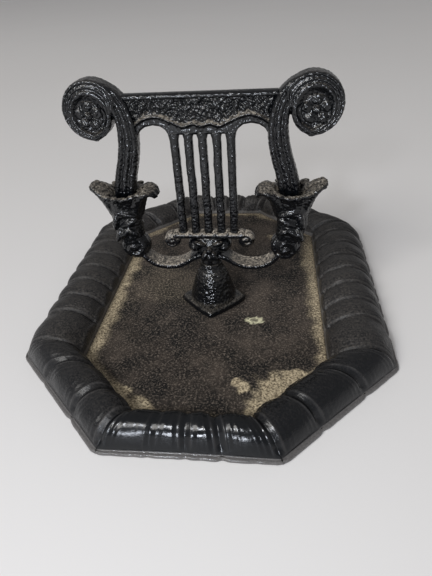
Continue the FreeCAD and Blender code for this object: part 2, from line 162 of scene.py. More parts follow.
# %% [markdown]
# A voxel remesh melts several closed shapes that overlap into one continuous skin, as the molten
# iron did, and a short smoothing rounds the joins as sand and paint do. The voxel is well under the
# width of the finest groove. Modifiers only show their result until it is copied into the mesh,
# which is what `make_real` does.

# %% Melt shapes together
def make_real(piece):
    """Replaces a piece's mesh with what its modifiers make of it."""
    graph = bpy.context.evaluated_depsgraph_get()
    piece.data = bpy.data.meshes.new_from_object(piece.evaluated_get(graph))
    piece.modifiers.clear()


def melt(name, parts, voxel=0.7, rounds=3):
    """One smooth closed piece from overlapping closed parts, which are used up."""
    work = bmesh.new()
    for part in parts:
        work.from_mesh(part.data)
        bpy.data.objects.remove(part)
    mesh = bpy.data.meshes.new(name)
    work.to_mesh(mesh)
    work.free()
    piece = new_object(name, mesh)
    remesh = piece.modifiers.new("melt", "REMESH")
    remesh.mode, remesh.voxel_size = "VOXEL", voxel * MM
    relax = piece.modifiers.new("relax", "SMOOTH")
    relax.factor, relax.iterations = 0.5, rounds
    make_real(piece)
    piece.data.shade_smooth()
    print(f"{name}: {len(piece.data.polygons)} faces")
    return piece


# %% [markdown]
# The lyre's surface is pebbly: the paint lies over a hammered pattern of low bumps 2 to 3 mm
# apart. Worley (Voronoi) noise gives such bumps. They are pressed into the mesh, so that they catch
# the light in the same way from every side. `mask` stores a number per point, for the materials.

# %% Hammered surface and point masks
def points_of(piece):
    coordinates = np.zeros(len(piece.data.vertices) * 3, np.float32)
    piece.data.vertices.foreach_get("co", coordinates)
    return coordinates.reshape(-1, 3) / MM


def normals_of(piece):
    normals = np.zeros(len(piece.data.vertices) * 3, np.float32)
    piece.data.vertices.foreach_get("normal", normals)
    return normals.reshape(-1, 3)


def move_points(piece, points):
    piece.data.vertices.foreach_set("co", (np.asarray(points) * MM).astype(np.float32).ravel())
    piece.data.update()


def hammer(piece, bump_size=2.4, height=0.35, where=None):
    """Presses low rounded bumps into a piece. where is a share per point."""
    points = points_of(piece)
    lift = np.array([
        0.45 - noise.voronoi(Vector(point) / bump_size, distance_metric="DISTANCE")[0][0]
        for point in points
    ])
    if where is not None:
        lift = lift * where
    move_points(piece, points + normals_of(piece) * (lift * height)[:, None])
    return piece


def mask(piece, name, values):
    layer = piece.data.attributes.new(name, "FLOAT", "POINT")
    layer.data.foreach_set("value", np.clip(values, 0, 1).astype(np.float32))


def step(low, high, value):
    """A smooth step from 0 at low to 1 at high."""
    share = np.clip((np.asarray(value, float) - low) / (high - low), 0, 1)
    return share * share * (3 - 2 * share)


def bell(distance, width):
    return np.exp(-((np.asarray(distance, float) / width) ** 2))


# %% [markdown]
# ## Materials
#
# Colours are written as the sRGB hex values a painter's chart would give, and one function turns
# them to the linear values that a renderer adds up. One more adds a node, sets it and links it.

# %% Colour and node helpers
def linear(hex_colour):
    """An sRGB hex colour as linear red, green, blue and alpha."""
    channels = [int(hex_colour[place:place + 2], 16) / 255 for place in (1, 3, 5)]
    return (*[c / 12.92 if c <= 0.04045 else ((c + 0.055) / 1.055) ** 2.4 for c in channels], 1)


def add(tree, kind, sockets=None, **settings):
    """Adds a node. A socket's value is a constant, or another node's output to link from."""
    node = tree.nodes.new("ShaderNode" + kind)
    for name, value in settings.items():
        setattr(node, name, value)
    for name, value in (sockets or {}).items():
        if isinstance(value, bpy.types.NodeSocket):
            tree.links.new(value, node.inputs[name])
        else:
            node.inputs[name].default_value = value
    return node


def per_mm(spacing):
    """Texture scale that puts features this many millimetres apart."""
    return 1 / (spacing * MM)


def new_material(name):
    material = bpy.data.materials.new(name)
    material.use_nodes = True
    material.node_tree.nodes.clear()
    return material, material.node_tree


def finish_material(tree, surface):
    add(tree, "OutputMaterial", {"Surface": surface.outputs["BSDF"]})


print("black paint in linear light:", [round(v, 4) for v in linear("#0a0c0f")[:3]])

# %% [markdown]
# **Black oil gloss over cast iron.** Generations of brushed enamel paint (IOR about 1.5) lie over
# the hammered iron. The paint itself is nearly black and smooth, so what the eye reads is the
# small bright glint on every bump, and dry dust in the hollows and on upward faces, which kills
# the gloss. The bumps are 2.4 mm apart, and a finer orange peel of 0.9 mm breaks the glints up.

# %% Black oil gloss enamel
def make_gloss_enamel(name, dust_hex):
    material, tree = new_material(name)
    place = add(tree, "TexCoord").outputs["Object"]
    patches = add(tree, "TexNoise", {"Vector": place, "Scale": per_mm(9), "Detail": 4})
    grit = add(tree, "TexNoise", {"Vector": place, "Scale": per_mm(1.6), "Detail": 5, "Roughness": 0.7})
    dusty = add(tree, "Attribute", attribute_name="dust").outputs["Fac"]

    speckle = add(tree, "MapRange", {"Value": grit.outputs["Fac"], "From Min": 0.4, "From Max": 0.6})
    broken = add(tree, "Math", {0: speckle.outputs["Result"], 1: 0.7, 2: 0.3}, operation="MULTIPLY_ADD")
    cover = add(tree, "Math", {0: dusty, 1: broken.outputs[0]}, operation="MULTIPLY", use_clamp=True)

    paint = add(tree, "MixRGB", {
        "Fac": patches.outputs["Fac"], "Color1": linear("#030406"), "Color2": linear("#0a0c0f")})
    tone = add(tree, "MapRange", {"Value": grit.outputs["Fac"], "From Min": 0.4, "From Max": 0.66})
    dust = add(tree, "MixRGB", {
        "Fac": tone.outputs["Result"], "Color1": linear("#3a342e"), "Color2": linear(dust_hex)})
    colour = add(tree, "MixRGB", {
        "Fac": cover.outputs[0], "Color1": paint.outputs[0], "Color2": dust.outputs[0]})
    gloss = add(tree, "MapRange", {
        "Value": patches.outputs["Fac"], "From Min": 0.3, "From Max": 0.7, "To Min": 0.07, "To Max": 0.18})
    dullness = add(tree, "Math", {0: cover.outputs[0], 1: 0.6, 2: gloss.outputs["Result"]},
                   operation="MULTIPLY_ADD", use_clamp=True)

    hammered = add(tree, "TexVoronoi", {"Vector": place, "Scale": per_mm(2.4), "Smoothness": 0.6},
                   feature="SMOOTH_F1")
    peel = add(tree, "TexNoise", {"Vector": place, "Scale": per_mm(0.9), "Detail": 2})
    low_bumps = add(tree, "Bump", {
        "Height": hammered.outputs["Distance"], "Strength": 0.6, "Distance": 0.7 * MM}, invert=True)
    bumps = add(tree, "Bump", {
        "Height": peel.outputs["Fac"], "Strength": 0.5, "Distance": 0.35 * MM,
        "Normal": low_bumps.outputs["Normal"]})
    surface = add(tree, "BsdfPrincipled", {
        "Base Color": colour.outputs[0], "Roughness": dullness.outputs[0],
        "Normal": bumps.outputs["Normal"], "IOR": 1.5, "Specular IOR Level": 0.46})
    finish_material(tree, surface)
    return material


gloss_enamel = make_gloss_enamel("black_oil_gloss_enamel", "#bdb3a4")
print("made", gloss_enamel.name)

# %% [markdown]
# ** Worn black paint on the tray's rim.** The same paint, thinner and handled more. At the front it
# is still glossy and blue-black. Along the sides and back, dust has settled and it is a matt
# brownish black. The fine ridges beside each channel, and the lip, are painted a lighter grey-brown:
# partly rubbed paint, partly a painted highlight where light catches those edges.

# %% Worn black rim paint
def make_rim_paint():
    material, tree = new_material("worn_black_rim_paint")
    place = add(tree, "TexCoord").outputs["Object"]
    patches = add(tree, "TexNoise", {"Vector": place, "Scale": per_mm(26), "Detail": 5, "Roughness": 0.6})
    grit = add(tree, "TexNoise", {"Vector": place, "Scale": per_mm(1.5), "Detail": 5, "Roughness": 0.75})
    sheen = add(tree, "Attribute", attribute_name="gloss").outputs["Fac"]
    worn_and_highlit = add(tree, "Attribute", attribute_name="wear").outputs["Fac"]
    dusty = add(tree, "Attribute", attribute_name="dust").outputs["Fac"]

    matt = add(tree, "MixRGB", {
        "Fac": patches.outputs["Fac"], "Color1": linear("#0e0f11"), "Color2": linear("#1c1c1e")})
    wet = add(tree, "MixRGB", {
        "Fac": patches.outputs["Fac"], "Color1": linear("#06080b"), "Color2": linear("#0e1013")})
    grain = add(tree, "MapRange", {"Value": grit.outputs["Fac"], "From Min": 0.46, "From Max": 0.68})
    dry_grain = add(tree, "MixRGB", {
        "Fac": grain.outputs["Result"], "Color1": matt.outputs[0], "Color2": linear("#3c3937")})
    paint = add(tree, "MixRGB", {"Fac": sheen, "Color1": dry_grain.outputs[0], "Color2": wet.outputs[0]})
    # Ridges and lip turn a lighter grey-brown: partly rubbed paint, partly a painted highlight on those
    # edges.
    rubbed_and_highlit = add(tree, "Math", {0: worn_and_highlit, 1: grit.outputs["Fac"]}, operation="MULTIPLY")
    bared_and_highlit = add(tree, "MixRGB", {
        "Fac": rubbed_and_highlit.outputs[0], "Color1": paint.outputs[0], "Color2": linear("#858280")})
    speckle = add(tree, "MapRange", {"Value": grit.outputs["Fac"], "From Min": 0.4, "From Max": 0.66})
    cover = add(tree, "Math", {0: dusty, 1: speckle.outputs["Result"]}, operation="MULTIPLY")
    colour = add(tree, "MixRGB", {
        "Fac": cover.outputs[0], "Color1": bared_and_highlit.outputs[0], "Color2": linear("#6c665f")})

    dull = add(tree, "MapRange", {
        "Value": patches.outputs["Fac"], "From Min": 0.3, "From Max": 0.7, "To Min": 0.36, "To Max": 0.56})
    polish = add(tree, "Math", {0: sheen, 1: -0.3, 2: dull.outputs["Result"]}, operation="MULTIPLY_ADD")
    roughness = add(tree, "Math", {0: cover.outputs[0], 1: 0.4, 2: polish.outputs[0]},
                    operation="MULTIPLY_ADD", use_clamp=True)
    pits = add(tree, "TexNoise", {"Vector": place, "Scale": per_mm(2.6), "Detail": 4, "Roughness": 0.6})
    roughcast = add(tree, "MapRange", {"Value": sheen, "To Min": 0.7, "To Max": 0.12})
    bumps = add(tree, "Bump", {
        "Height": pits.outputs["Fac"], "Strength": roughcast.outputs["Result"], "Distance": 1.1 * MM})
    surface = add(tree, "BsdfPrincipled", {
        "Base Color": colour.outputs[0], "Roughness": roughness.outputs[0],
        "Normal": bumps.outputs["Normal"], "IOR": 1.5, "Specular IOR Level": 0.3})
    finish_material(tree, surface)
    return material


rim_paint = make_rim_paint()
print("made", rim_paint.name)

# %% [markdown]
# **Rusted sand-cast iron of the tray's floor.** No paint is left here. The iron is dark brown and
# grainy, because it was cast against coarse sand, and mud and sand have dried along its edges.
# Real grains are about half a millimetre. They are drawn 1.7 mm apart, as coarse as they need to
# be to show, with soft brown clouds of rust about 30 mm across under them.

# %% Rusted sand-cast floor
def make_floor_iron():
    material, tree = new_material("rusted_sand_cast_iron")
    place = add(tree, "TexCoord").outputs["Object"]
    clouds = add(tree, "TexNoise", {"Vector": place, "Scale": per_mm(30), "Detail": 7, "Roughness": 0.66})
    grains = add(tree, "TexNoise", {"Vector": place, "Scale": per_mm(1.7), "Detail": 3, "Roughness": 0.75})
    sand = add(tree, "TexVoronoi", {"Vector": place, "Scale": per_mm(2.1)})
    muddy = add(tree, "Attribute", attribute_name="dirt").outputs["Fac"]
    chipped = add(tree, "Attribute", attribute_name="chip").outputs["Fac"]

    rust = add(tree, "MapRange", {"Value": clouds.outputs["Fac"], "From Min": 0.42, "From Max": 0.66})
    iron = add(tree, "MixRGB", {
        "Fac": rust.outputs["Result"], "Color1": linear("#0c0b0a"), "Color2": linear("#453d36")})
    tint = add(tree, "MapRange", {"Value": grains.outputs["Fac"], "From Min": 0.5, "From Max": 0.72})
    speckled = add(tree, "MixRGB", {
        "Fac": tint.outputs["Result"], "Color1": iron.outputs[0], "Color2": linear("#80756a")})
    light = add(tree, "MapRange", {"Value": grains.outputs["Fac"], "From Min": 0.36, "From Max": 0.62})
    earth = add(tree, "MixRGB", {
        "Fac": light.outputs["Result"], "Color1": linear("#655946"), "Color2": linear("#d2c2a3")})
    ragged = add(tree, "Math", {0: grains.outputs["Fac"], 1: 1.6, 2: -0.85}, operation="MULTIPLY_ADD")
    spread = add(tree, "Math", {0: muddy, 1: ragged.outputs[0]}, operation="ADD", use_clamp=True)
    crust = add(tree, "Math", {0: spread.outputs[0], 1: muddy}, operation="MULTIPLY", use_clamp=True)
    soiled = add(tree, "MixRGB", {
        "Fac": crust.outputs[0], "Color1": speckled.outputs[0], "Color2": earth.outputs[0]})
    colour = add(tree, "MixRGB", {
        "Fac": chipped, "Color1": soiled.outputs[0], "Color2": linear("#d3cfae")})

    fine = add(tree, "Bump", {
        "Height": grains.outputs["Fac"], "Strength": 0.8, "Distance": 1.1 * MM})
    bumps = add(tree, "Bump", {
        "Height": sand.outputs["Distance"], "Strength": 0.5, "Distance": 0.7 * MM,
        "Normal": fine.outputs["Normal"]})
    surface = add(tree, "BsdfPrincipled", {
        "Base Color": colour.outputs[0], "Roughness": 0.8, "Normal": bumps.outputs["Normal"],
        "Specular IOR Level": 0.35})
    finish_material(tree, surface)
    return material


floor_iron = make_floor_iron()
print("made", floor_iron.name)

# %% [markdown]
# **Oxidised steel of the fixing screw.** Plain steel that has gone dull and brown: metallic, with
# a grain of turned rings too fine to see, drawn as 0.8 mm noise.

# %% Oxidised steel
def make_screw_steel():
    material, tree = new_material("oxidised_steel")
    place = add(tree, "TexCoord").outputs["Object"]
    bloom = add(tree, "TexNoise", {"Vector": place, "Scale": per_mm(3), "Detail": 5})
    grain = add(tree, "TexNoise", {"Vector": place, "Scale": per_mm(0.8), "Detail": 3})
    colour = add(tree, "MixRGB", {
        "Fac": bloom.outputs["Fac"], "Color1": linear("#4a3a30"), "Color2": linear("#857c74")})
    dull = add(tree, "MapRange", {"Value": bloom.outputs["Fac"], "To Min": 0.65, "To Max": 0.35})
    bumps = add(tree, "Bump", {"Height": grain.outputs["Fac"], "Strength": 0.3, "Distance": 0.2 * MM})
    surface = add(tree, "BsdfPrincipled", {
        "Base Color": colour.outputs[0], "Metallic": 0.85, "Roughness": dull.outputs["Result"],
        "Normal": bumps.outputs["Normal"]})
    finish_material(tree, surface)
    return material


screw_steel = make_screw_steel()
print("made", screw_steel.name)

# %% [markdown]
# A finished piece gets its material, the measured nodes that it stands for are hidden, and it is
# attached to the one body, since nothing on a boot scraper moves.

# %% Register a piece
def register(piece, nodes, material):
    piece.data.materials.clear()
    piece.data.materials.append(material)
    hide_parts(*nodes)
    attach(piece, "root")
    low, high = points_of(piece).min(0), points_of(piece).max(0)
    print(f"{piece.name}: {len(piece.data.polygons)} faces, {(high - low).round(1)} mm")
    return piece


# %% [markdown]
# ## The tray's rim
#
# The rim is a hollow swell, cast in one with the floor, and its eight straight runs meet at mitres.
# Each run is skinned from sections that stand on lines from the lip to the floor. The corners come
# from the boxes of the front, side and floor nodes.

# %% Corners of the tray
front_low, front_high = box_mm("rim_front")
side_high = box_mm("rim_right")[1]
LIP_X, LIP_Y = tray_high[0], -front_low[1]
CUT = LIP_X - front_high[0]
INNER_X, INNER_Y = floor_high[0], floor_high[1]
INNER_SIDE_Y = side_high[1]
INNER_FRONT_X = INNER_X + INNER_SIDE_Y - INNER_Y
lip_quarter = [(LIP_X, LIP_Y - CUT), (LIP_X - CUT, LIP_Y)]
floor_quarter = [(INNER_X, INNER_SIDE_Y), (INNER_FRONT_X, INNER_Y)]


def around_tray(quarter):
    corners = []
    for across, along in ((1, 1), (-1, 1), (-1, -1), (1, -1)):
        pair = [(across * x, along * y) for x, y in quarter]
        corners += pair if across == along else pair[::-1]
    return np.array(corners)


lip_corners, floor_corners = around_tray(lip_quarter), around_tray(floor_quarter)
SIDE_CREST, END_CREST = side_high[2], front_high[2]
print("lip corners", lip_corners[:2].round(1).tolist(), "floor corners", floor_corners[:2].round(1).tolist())

# %% [markdown]
# Gadroons are told apart by their channels. Beside each dark channel runs a pair of thin raised
# fillets, 8 mm from one to the other at the front and less along the sides. From the fillets the
# metal swells up to the middle of each lobe, with two faint ripples on the way. `gadroon` gives
# the height of that relief from the distance to the nearest channel. A channel that paint has
# partly filled has a strength under 1.

# %% Relief of the gadroons
CHANNEL_HALF_WIDTH, CHANNEL_DEPTH = 2.1, 1.7
FILLET_PLACE, FILLET_WIDTH, FILLET_HEIGHT = 4.0, 0.75, 0.7


def gadroon(gap, half_lobe, strength, spread, swelling):
    gap = gap / spread
    channel = -CHANNEL_DEPTH * bell(gap, CHANNEL_HALF_WIDTH)
    fillet = FILLET_HEIGHT * bell(gap - FILLET_PLACE, FILLET_WIDTH)
    ripples = 0.3 * bell(gap - 2.1 * FILLET_PLACE, 1.0) + 0.2 * bell(gap - 3.1 * FILLET_PLACE, 1.0)
    foot = FILLET_PLACE * spread
    share = np.clip((gap * spread - foot) / (half_lobe - foot), 0, 1)
    return strength * (channel + fillet + ripples - swelling * (1 - share) ** 2.2)


# %% [markdown]
# A section runs from the lip's foot over the swell, down to the floor and back underneath through
# the hollow. The swell is two quarter ellipses that meet at the crest, about half way in along the
# sides and further in at the front and back.

# %% Section of the rim
LIP_REACH, LIP_HEIGHT, RIM_WALL = 3.0, 3.0, 4.5
SIDE_CREST_SHARE, END_CREST_SHARE = 0.48, 0.6
SWELL_POINTS, RUN_SPACING = 46, 0.75


def quarter_curves(start, crest, end, outer_foot, inner_foot, top, count):
    rise_angle = np.linspace(0, math.pi / 2, count)
    rise = np.stack([crest - (crest - start) * np.cos(rise_angle),
                     outer_foot + (top - outer_foot) * np.sin(rise_angle)], 1)
    fall = np.stack([crest + (end - crest) * np.sin(rise_angle),
                     inner_foot + (top - inner_foot) * np.cos(rise_angle)], 1)
    return np.vstack([rise, fall[1:]])


def rim_loop(reach, crest_height, crest_share):
    """Section points (place, level), and which of them belong to the visible swell."""
    crest = LIP_REACH + (reach - LIP_REACH) * crest_share
    swell = quarter_curves(LIP_REACH, crest, reach, LIP_HEIGHT, FLOOR_TOP, crest_height, SWELL_POINTS)
    bottom = floor_low[2]
    hollow = quarter_curves(LIP_REACH + RIM_WALL, crest, reach - RIM_WALL, 0, bottom,
                            crest_height - RIM_WALL, 8)[::-1]
    lip = np.array([(0.6, 0), (0, 0.8), (0.1, 2.2), (0.9, 2.9), (2.0, 3.05)])
    toe = np.array([(reach, bottom)])
    return np.vstack([lip, swell, toe, hollow]), len(lip), len(lip) + len(swell)


sample_loop, first_swell, last_swell = rim_loop(LIP_X - INNER_X, SIDE_CREST, SIDE_CREST_SHARE)
print("rim section:", len(sample_loop), "points,", last_swell - first_swell, "of them on the swell")

# %% [markdown]
# One run of rim. Every point of the swell is pushed out along the section's own normal by the
# gadroon relief, which fades out at the lip and at the floor. The lip has a shallow notch at each
# channel, and a little slow noise takes away the ruler-straight look, as in a sand casting.

# %% One run of rim
def make_rim(name, corner, channels, gloss, dust, spread=1.0, swelling=1.5):
    """corner is the index of the run's first corner. Each channel has a place from 0 to 1 along
    the run and a strength."""
    following = (corner + 1) % 8
    ends = [(SIDE_CREST, SIDE_CREST_SHARE) if index in (0, 3, 4, 7) else (END_CREST, END_CREST_SHARE)
            for index in (corner, following)]
    lip_a, lip_b = lip_corners[corner], lip_corners[following]
    floor_a, floor_b = floor_corners[corner], floor_corners[following]
    lip_length, floor_length = np.linalg.norm(lip_b - lip_a), np.linalg.norm(floor_b - floor_a)
    marks, strengths = np.array([(0, 1.0), *channels, (1, 1.0)]).T
    loops, wear, shine, soil = [], [], [], []
    for share in np.linspace(0, 1, int(lip_length / RUN_SPACING)):
        lip = lip_a + (lip_b - lip_a) * share
        inward = floor_a + (floor_b - floor_a) * share - lip
        reach = np.linalg.norm(inward)
        inward /= reach
        (crest_a, share_a), (crest_b, share_b) = ends
        loop, first, last = rim_loop(
            reach, crest_a + (crest_b - crest_a) * share, share_a + (share_b - share_a) * share)
        swell = loop[first:last]
        across = np.linspace(0, 1, len(swell))
        lengths = lip_length + (floor_length - lip_length) * swell[:, 0] / reach
        nearest = np.abs(marks - share).argmin()
        strength = strengths[nearest]
        gap = abs(marks[nearest] - share) * lengths
        beyond = min(max(np.searchsorted(marks, share, side="right"), 1), len(marks) - 1)
        half_lobe = np.maximum((marks[beyond] - marks[beyond - 1]) * lengths / 2, FILLET_PLACE + 2)
        fade = step(0, 0.14, across) * step(1, 0.86, across)
        relief = gadroon(gap, half_lobe, strength, spread, swelling)
        tangent = np.gradient(swell, axis=0)
        tangent /= np.linalg.norm(tangent, axis=1)[:, None]
        outward = np.stack([-tangent[:, 1], tangent[:, 0]], 1)
        slow = np.array([noise.noise(Vector((lip[0] + x * inward[0], lip[1] + x * inward[1], z)) / 12)
                         for x, z in swell])
        swell = swell + outward * (relief * fade + (0.8 - 0.45 * gloss) * slow * fade)[:, None]
        swell[:, 1] += 1.5 * bell(swell[:, 0] - (reach - 2.2), 1.4)
        loop[first:last] = swell
        notch = bell(gap[0], 2.8) * strength
        loop[:first, 0] += 1.1 * notch + 0.5 * noise.noise(Vector((*lip, 0)) / 7)
        loop[:first, 0] = np.maximum(loop[:first, 0], 0)
        points = np.zeros((len(loop), 3))
        points[:, :2] = lip + inward * loop[:, :1]
        points[:, 2] = loop[:, 1]
        loops.append(points)

        # The fillet ridges, the inner bead and the lip get the lighter grey-brown mask: partly rubbed paint,
        # partly a painted highlight on those edges.
        rubbed_and_highlit = np.zeros(len(loop))
        ridge = bell(gap / spread - FILLET_PLACE, 0.8) * strength * (1.0 - 0.65 * gloss)
        rubbed_and_highlit[first:last] = ridge * fade * (0.35 + 0.5 * slow)
        rubbed_and_highlit[last - 5:last] = 0.75 * (1 - 0.5 * gloss)
        rubbed_and_highlit[:first + 2] = 0.8
        wear.append(rubbed_and_highlit)
        settled = np.zeros(len(loop))
        settled[first:last] = dust * step(0.2, 0.6, across) * (1 - 0.7 * bell(gap / spread, 2.4))
        settled[last - 5:last] = 0.5
        soil.append(settled)
        shine.append(np.full(len(loop), gloss))
    piece = skin(name, loops)
    mask(piece, "wear", np.concatenate(wear))
    mask(piece, "dust", np.concatenate(soil))
    mask(piece, "gloss", np.concatenate(shine))
    return register(piece, [name], rim_paint)


# %% [markdown]
# The long sides have seven narrow channels 24.3 mm apart. The front and back have four lobes and
# the cut corners three, fanning out a little towards the lip. A channel also runs along every
# mitre. At the front, two of the channels are partly filled with paint.

# %% The eight runs
SIDE_LOBE = 24.3
FIRST_SIDE_CHANNEL = -64.0


def side_channels(flip):
    places = FIRST_SIDE_CHANNEL + SIDE_LOBE * np.arange(7)
    half = LIP_Y - CUT
    shares = (places + half) / (2 * half)
    shares = np.sort(1 - shares) if flip else shares
    return [(share, 1.0) for share in shares]


END_CHANNELS = ((0.3, 1.0), (0.5, 1.0), (0.7, 1.0))
FRONT_CHANNELS = ((0.29, 0.3), (0.49, 0.5), (0.69, 1.0))
CORNER_CHANNELS = ((0.31, 1.0), (0.69, 1.0))
SIDE_LOOK = {"spread": 0.66, "swelling": 2.3}
make_rim("rim_back_right", 0, CORNER_CHANNELS, 0.2, 0.25)
make_rim("rim_back", 1, END_CHANNELS, 0.2, 0.25)
make_rim("rim_back_left", 2, CORNER_CHANNELS, 0.2, 0.25)
make_rim("rim_left", 3, side_channels(True), 0.2, 0.3, **SIDE_LOOK)
make_rim("rim_front_left", 4, CORNER_CHANNELS, 0.6, 0.15)
make_rim("rim_front", 5, FRONT_CHANNELS, 1.0, 0.05)
make_rim("rim_front_right", 6, CORNER_CHANNELS, 0.85, 0.08)
make_rim("rim_right", 7, side_channels(False), 0.2, 0.3, **SIDE_LOOK)

# %% [markdown]
# ## The tray's floor
#
# A plate 4 mm thick that fills the eight-sided opening. Its top is a fine grid, so that the sand
# casting's unevenness and the crust of dried mud can be real relief. The mud lies thickest along
# the two long edges and in a few patches, most of them towards the front, and a faint haze of it
# lies over the left half. A flake of cream paint has dropped onto the floor.

# %% Floor plate
DIRT_PATCHES = (
    ((54, -133), 20), ((43, -148), 15), ((74, -117), 11), ((33, -127), 9),
    ((-44, -150), 13), ((-58, -138), 10), ((62, 96), 14),
)
HAZE_PLACE, HAZE_REACH, HAZE_AMOUNT = (-46, 6), 62, 0.3
FLAKE_PLACE, FLAKE_HALF = (39.5, -49.0), (8.0, 4.4)
GRAIN_LIFT, CASTING_LIFT, MUD_LIFT = 0.3, 0.5, 0.9


def wander(x, y, size, seed):
    return noise.noise(Vector((x / size, y / size, seed)))


def mud_at(x, y):
    """How much mud lies at a point, from 0 to 1."""
    ragged = 3.5 * wander(x, y, 9, 3) + 5 * wander(x, y, 24, 5)
    edge = INNER_X - abs(x)
    strip = float(step(16, 3, edge + ragged)) * (1.0 if x < 0 else 0.9) * float(step(150, 60, y))
    corner_line = (INNER_X + INNER_SIDE_Y - abs(x) - abs(y)) / math.sqrt(2)
    front_strip = float(step(10, 2, min(corner_line, INNER_Y - abs(y)) + ragged))
    patch = 0.0
    for (px, py), radius in DIRT_PATCHES:
        away = math.hypot(x - px, y - py) + 2.2 * ragged
        patch = max(patch, float(step(radius, radius * 0.45, away)))
    haze_away = math.hypot(x - HAZE_PLACE[0], y - HAZE_PLACE[1]) + 2.2 * ragged
    haze = HAZE_AMOUNT * float(step(HAZE_REACH, HAZE_REACH * 0.3, haze_away))
    return max(strip, 0.7 * front_strip, patch, haze)


def make_floor_plate():
    across = np.arange(-INNER_X, INNER_X + 0.1, INNER_X / 82)
    along = np.arange(-INNER_Y, INNER_Y + 0.1, INNER_Y / 136)
    grid_x, grid_y = np.meshgrid(across, along)
    index = np.arange(grid_x.size).reshape(grid_x.shape)
    quads = np.stack([index[:-1, :-1], index[:-1, 1:], index[1:, 1:], index[1:, :-1]], -1).reshape(-1, 4)
    points = np.stack([grid_x.ravel(), grid_y.ravel(), np.full(grid_x.size, FLOOR_TOP)], 1)
    work = bmesh.new()
    verts = [work.verts.new(point) for point in points]
    for quad in quads:
        work.faces.new([verts[corner] for corner in quad])
    for sign_x, sign_y in ((1, 1), (-1, 1), (-1, -1), (1, -1)):
        place = (sign_x * INNER_X, sign_y * INNER_SIDE_Y, 0)
        bmesh.ops.bisect_plane(
            work, geom=work.verts[:] + work.edges[:] + work.faces[:], plane_co=place,
            plane_no=(sign_x, sign_y, 0), clear_outer=True)
    for vert in work.verts:
        x, y = vert.co.xy
        border = min(INNER_X - abs(x), INNER_Y - abs(y),
                     (INNER_X + INNER_SIDE_Y - abs(x) - abs(y)) / math.sqrt(2))
        inside = float(step(0, 2.5, border))
        vert.co.z += inside * (GRAIN_LIFT * wander(x, y, 2.0, 1) + CASTING_LIFT * wander(x, y, 22, 2)
                               + MUD_LIFT * mud_at(x, y) * (0.7 + 0.5 * wander(x, y, 3, 7)) - 0.2)
    rim = [edge for edge in work.edges if edge.is_boundary]
    walls = bmesh.ops.extrude_edge_only(work, edges=rim)["geom"]
    low = [item for item in walls if isinstance(item, bmesh.types.BMVert)]
    for vert in low:
        vert.co.z = floor_low[2]
    bottom = [edge for edge in work.edges if edge.is_boundary]
    bmesh.ops.contextual_create(work, geom=bottom)
    bmesh.ops.recalc_face_normals(work, faces=work.faces)
    bmesh.ops.scale(work, vec=(MM, MM, MM), verts=work.verts)
    mesh = bpy.data.meshes.new("tray_floor")
    work.to_mesh(mesh)
    work.free()
    return new_object("tray_floor", mesh)


plate = make_floor_plate()
print("floor plate:", len(plate.data.polygons), "faces before the screw seat is cut")

# %% [markdown]
# The screw's seat is cut through the floor from below. It is a cone, 0.15 mm wider all round than
# the screw's head. `cut` does it with a Boolean modifier, which is made real at once. The masks for
# mud and for the flake are worked out after the cut, because the cut changes the points.

# %% Screw seat and floor masks
screw_low, screw_high = box_mm("fixing_screw")
HEAD_RADIUS = (screw_high[0] - screw_low[0]) / 2
SHANK_RADIUS, SEAT_GAP = 4.0, 0.15


def ring(centre, radius, level, count=48):
    angle = np.linspace(0, 2 * math.pi, count, endpoint=False)
    return np.stack([centre[0] + radius * np.cos(angle), centre[1] + radius * np.sin(angle),
                     np.full(count, level)], 1)


def cut(piece, cutter):
    """Cuts one closed shape out of a piece. The cutter is used up."""
    modifier = piece.modifiers.new("cut", "BOOLEAN")
    modifier.operation, modifier.object, modifier.solver = "DIFFERENCE", cutter, "EXACT"
    make_real(piece)
    bpy.data.objects.remove(cutter)


seat = skin("seat", [
    ring((0, LYRE_Y), HEAD_RADIUS + SEAT_GAP + 1.0, floor_low[2] - 1),
    ring((0, LYRE_Y), HEAD_RADIUS + SEAT_GAP, floor_low[2]),
    ring((0, LYRE_Y), SHANK_RADIUS + SEAT_GAP, FLOOR_TOP - 0.4),
    ring((0, LYRE_Y), SHANK_RADIUS + SEAT_GAP, FLOOR_TOP + 3),
])
cut(plate, seat)
plate.data.shade_smooth()
floor_points = points_of(plate)
top_share = step(FLOOR_TOP - 1.5, FLOOR_TOP - 0.8, floor_points[:, 2])
mask(plate, "dirt", np.array([mud_at(x, y) for x, y in floor_points[:, :2]]) * top_share)
flake_distance = np.hypot((floor_points[:, 0] - FLAKE_PLACE[0]) / FLAKE_HALF[0],
                          (floor_points[:, 1] - FLAKE_PLACE[1]) / FLAKE_HALF[1])
ragged_flake = flake_distance + np.array([0.5 * wander(x, y, 2.2, 9) for x, y in floor_points[:, :2]])
mask(plate, "chip", (step(1.1, 0.8, ragged_flake) - 0.75 * step(0.6, 0.35, ragged_flake)) * top_share)
register(plate, ["tray_floor"], floor_iron)

# %% [markdown]
# The fixing screw comes up through the floor into the lyre's foot. Its countersunk head lies in
# the seat, flush underneath, with a straight slot for the screwdriver. Only someone who turns the
# tray over sees it.

# %% Fixing screw
THREAD_PITCH, THREAD_HALF_DEPTH = 1.75, 0.4
SLOT_HALF_WIDTH, SLOT_DEPTH = 0.9, 1.6


